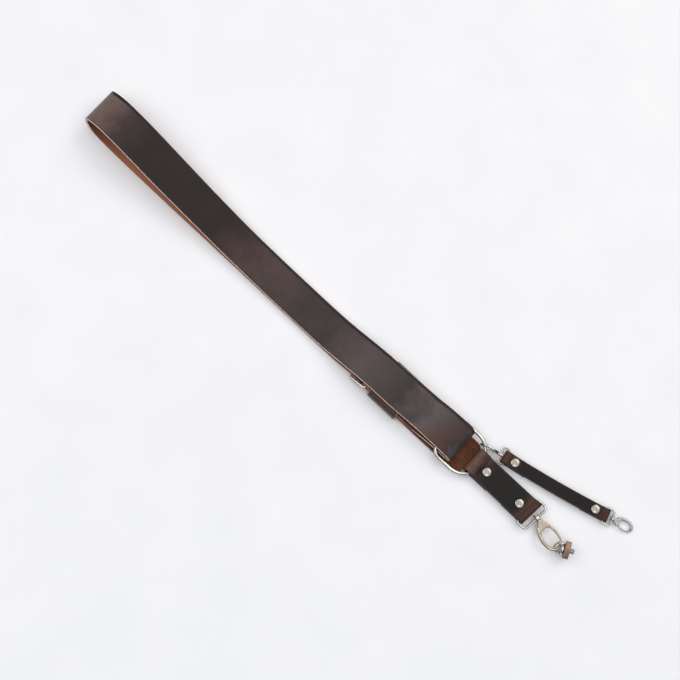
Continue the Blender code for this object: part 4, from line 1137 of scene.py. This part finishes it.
def swivel_eye(name, depth, half_width, bar, corners, shift, scale, eye_spot, axis_spot, grid, mats):
    """The wire eye that the strap folds round, and the boss that the swivel post turns in."""
    outline = [(x - depth / 2, y + shift, 0.0) for x, y, _ in rounded_outline(depth, 2 * half_width, *corners, 10)]
    loop = wire_mesh(name, outline, bar, eye_spot, True)
    half = EYE_BOSS_HALF * scale
    boss = drawn(cylinder(EYE_BOSS_RADIUS * scale, (-half, 0, 0), (half, 0, 0)), axis_spot)
    bore = drawn(cylinder(EYE_BORE_RADIUS * scale, (-3, 0, 0), (3, 0, 0)), axis_spot)
    eye = cast(name + "_cast", [loop, boss], [bore], grid, mats, 4)
    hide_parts(name)
    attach(eye, "strap")


large_axis = spot((593.8, 3.3, 5.3), -15.5, 4.0)
large_eye_spot = spot((593.8, 3.3, 5.3), -5.5, 4.0)
upper_axis = spot((528.3, 24.2, 6.6), 194.5, 0.0, -90.0)
upper_eye_spot = spot((528.3, 24.2, 6.6), 191.0, 14.0)
lower_axis = spot((647.5, 53.7, 3.2), 16.4, -3.5, 180.0)
small_plating = plated("small_snap_plating", (0.39, 0.4, 0.385), (0.3, 0.3, 0.27), 0.18)
snap("large", 1.0, 1.0, large_axis, 0.22, [snap_plating])
snap("upper", 0.62, 1.2, upper_axis, 0.16, [ring_plating])
snap("lower", 0.62, 1.2, lower_axis, 0.16, [small_plating])
# Name, depth, half width, wire radius, corners, shift, scale, places of the eye and the post, voxel size.
swivel_eye("large_eye", 10.2, 15.2, 1.25, (4.4, 2.6), -1.8, 1.0, large_eye_spot, large_axis, 0.22, [ring_plating])
swivel_eye("upper_eye", 6.6, 7.9, 0.95, (2.6, 1.5), -0.75, 0.62, upper_eye_spot, upper_axis, 0.18, [ring_plating])
swivel_eye("lower_eye", 7.9, 7.9, 0.95, (2.6, 1.5), 0.0, 0.62, lower_axis, lower_axis, 0.18, [ring_plating])


# The camera screw, its leather washer and its bail.
# A turned steel flange with a threaded stud, through a thick washer stamped from tan leather.
# The washer stands on its rim on the floor.

WASHER_RADIUS, WASHER_HOLE, WASHER_FRONT, WASHER_BACK = 8.4, 3.1, 6.8, 1.5  # the last two along the screw
SOCKET_RADIUS = 1.3
STUD_START, STUD_END, STUD_ROOT = 0.9, 11.0, 2.15
THREAD_PITCH, THREAD_DEPTH, THREAD_LEAD = 1.27, 0.5, 0.6
BAIL_WIRE, BAIL_DEPTH, BAIL_HALF = 0.85, 5.0, 7.4
washer_side = suede("washer_rim", (0.17, 0.085, 0.055), (0.42, 0.255, 0.18))
washer_face = polished_leather("washer_face", (0.3, 0.175, 0.12), (0.2, 0.11, 0.08), 0.6, 1.0)
screw_spot = spot((629.7, -2.2, 7.92), 25.0, 13.0, -30.0)
along_x = Matrix.Rotation(math.radians(90), 4, "Y")

profile = [(WASHER_HOLE, 6.4), (3.2, 6.75), (3.5, WASHER_FRONT), (7.9, WASHER_FRONT), (8.25, 6.7)]
profile.append((WASHER_RADIUS, 6.4))
for k in range(1, 12):
    profile.append((WASHER_RADIUS - 0.1 * math.sin(k * 2.1) ** 2, 6.4 - 4.5 * k / 12))
profile += [(WASHER_RADIUS, 1.9), (8.25, 1.6), (7.9, WASHER_BACK), (3.5, WASHER_BACK), (3.2, 1.55)]
profile.append((WASHER_HOLE, 1.9))
washer = turned_piece("washer_leather", profile, screw_spot @ along_x, [washer_side, washer_face], 72)
screw_axis = (screw_spot.to_3x3() @ Vector((1.0, 0.0, 0.0))).normalized()
for poly in washer.data.polygons:
    poly.material_index = 1 if abs(poly.normal.dot(screw_axis)) > 0.9 else 0
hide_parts("screw_washer")

profile = [(0.0, 1.2), (5.7, 1.2), (6.0, 1.05), (6.2, 0.75), (6.2, -0.75), (6.0, -1.05), (5.7, -1.2), (0.0, -1.2)]
flange = turned_piece("screw_flange", profile, screw_spot @ along_x, [screw_steel], 64)
for side in (1, -1):
    cut(flange, drawn(cylinder(SOCKET_RADIUS, (0, 0, side * 4.7), (0, 0, side * 7.5)), screw_spot))
flange.data.materials.clear()
flange.data.materials.append(screw_steel)
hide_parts("camera_screw")

bm = bmesh.new()
bmesh.ops.create_grid(bm, x_segments=36, y_segments=72, size=0.5)
for vert in bm.verts:
    angle = (vert.co.x + 0.5) * math.tau
    along = STUD_START + (vert.co.y + 0.5) * (STUD_END - STUD_START)
    turnings = ((along / THREAD_PITCH + angle / math.tau) % 1.0) * 2.0
    tooth = 1.0 - abs(turnings - 1.0)
    edge = min(1.0, (STUD_END - along) / THREAD_LEAD)
    radius = STUD_ROOT + THREAD_DEPTH * tooth * edge - 0.25 * (1.0 - edge)
    vert.co = screw_spot @ Vector((along, radius * math.cos(angle), radius * math.sin(angle)))
to_metres(bm)
bmesh.ops.remove_doubles(bm, verts=bm.verts, dist=0.001 * MM)
bmesh.ops.holes_fill(bm, edges=[e for e in bm.edges if e.is_boundary], sides=0)
bmesh.ops.recalc_face_normals(bm, faces=bm.faces)
for face in bm.faces:
    face.smooth = True
stud = add_piece("screw_stud", finished(bm, "screw_stud"), [screw_steel])
for obj in (flange, stud, washer):
    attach(obj, "camera_screw")

points = [(0.0, 0.0, 5.0), (0.0, 0.0, 6.8), (-0.12, 0.0, 7.15), (-0.4, 0.0, 7.4)]
for k in range(37):
    angle = math.radians(90 - 180 * k / 36)
    points.append((-3.0 - BAIL_DEPTH * math.cos(angle), 0.0, BAIL_HALF * math.sin(angle)))
points += [(x, y, -z) for x, y, z in reversed(points[:4])]
bail = bent_wire("screw_bail_wire", points, BAIL_WIRE, [ring_plating], screw_spot)
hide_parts("screw_bail")
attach(bail, "large_hook")
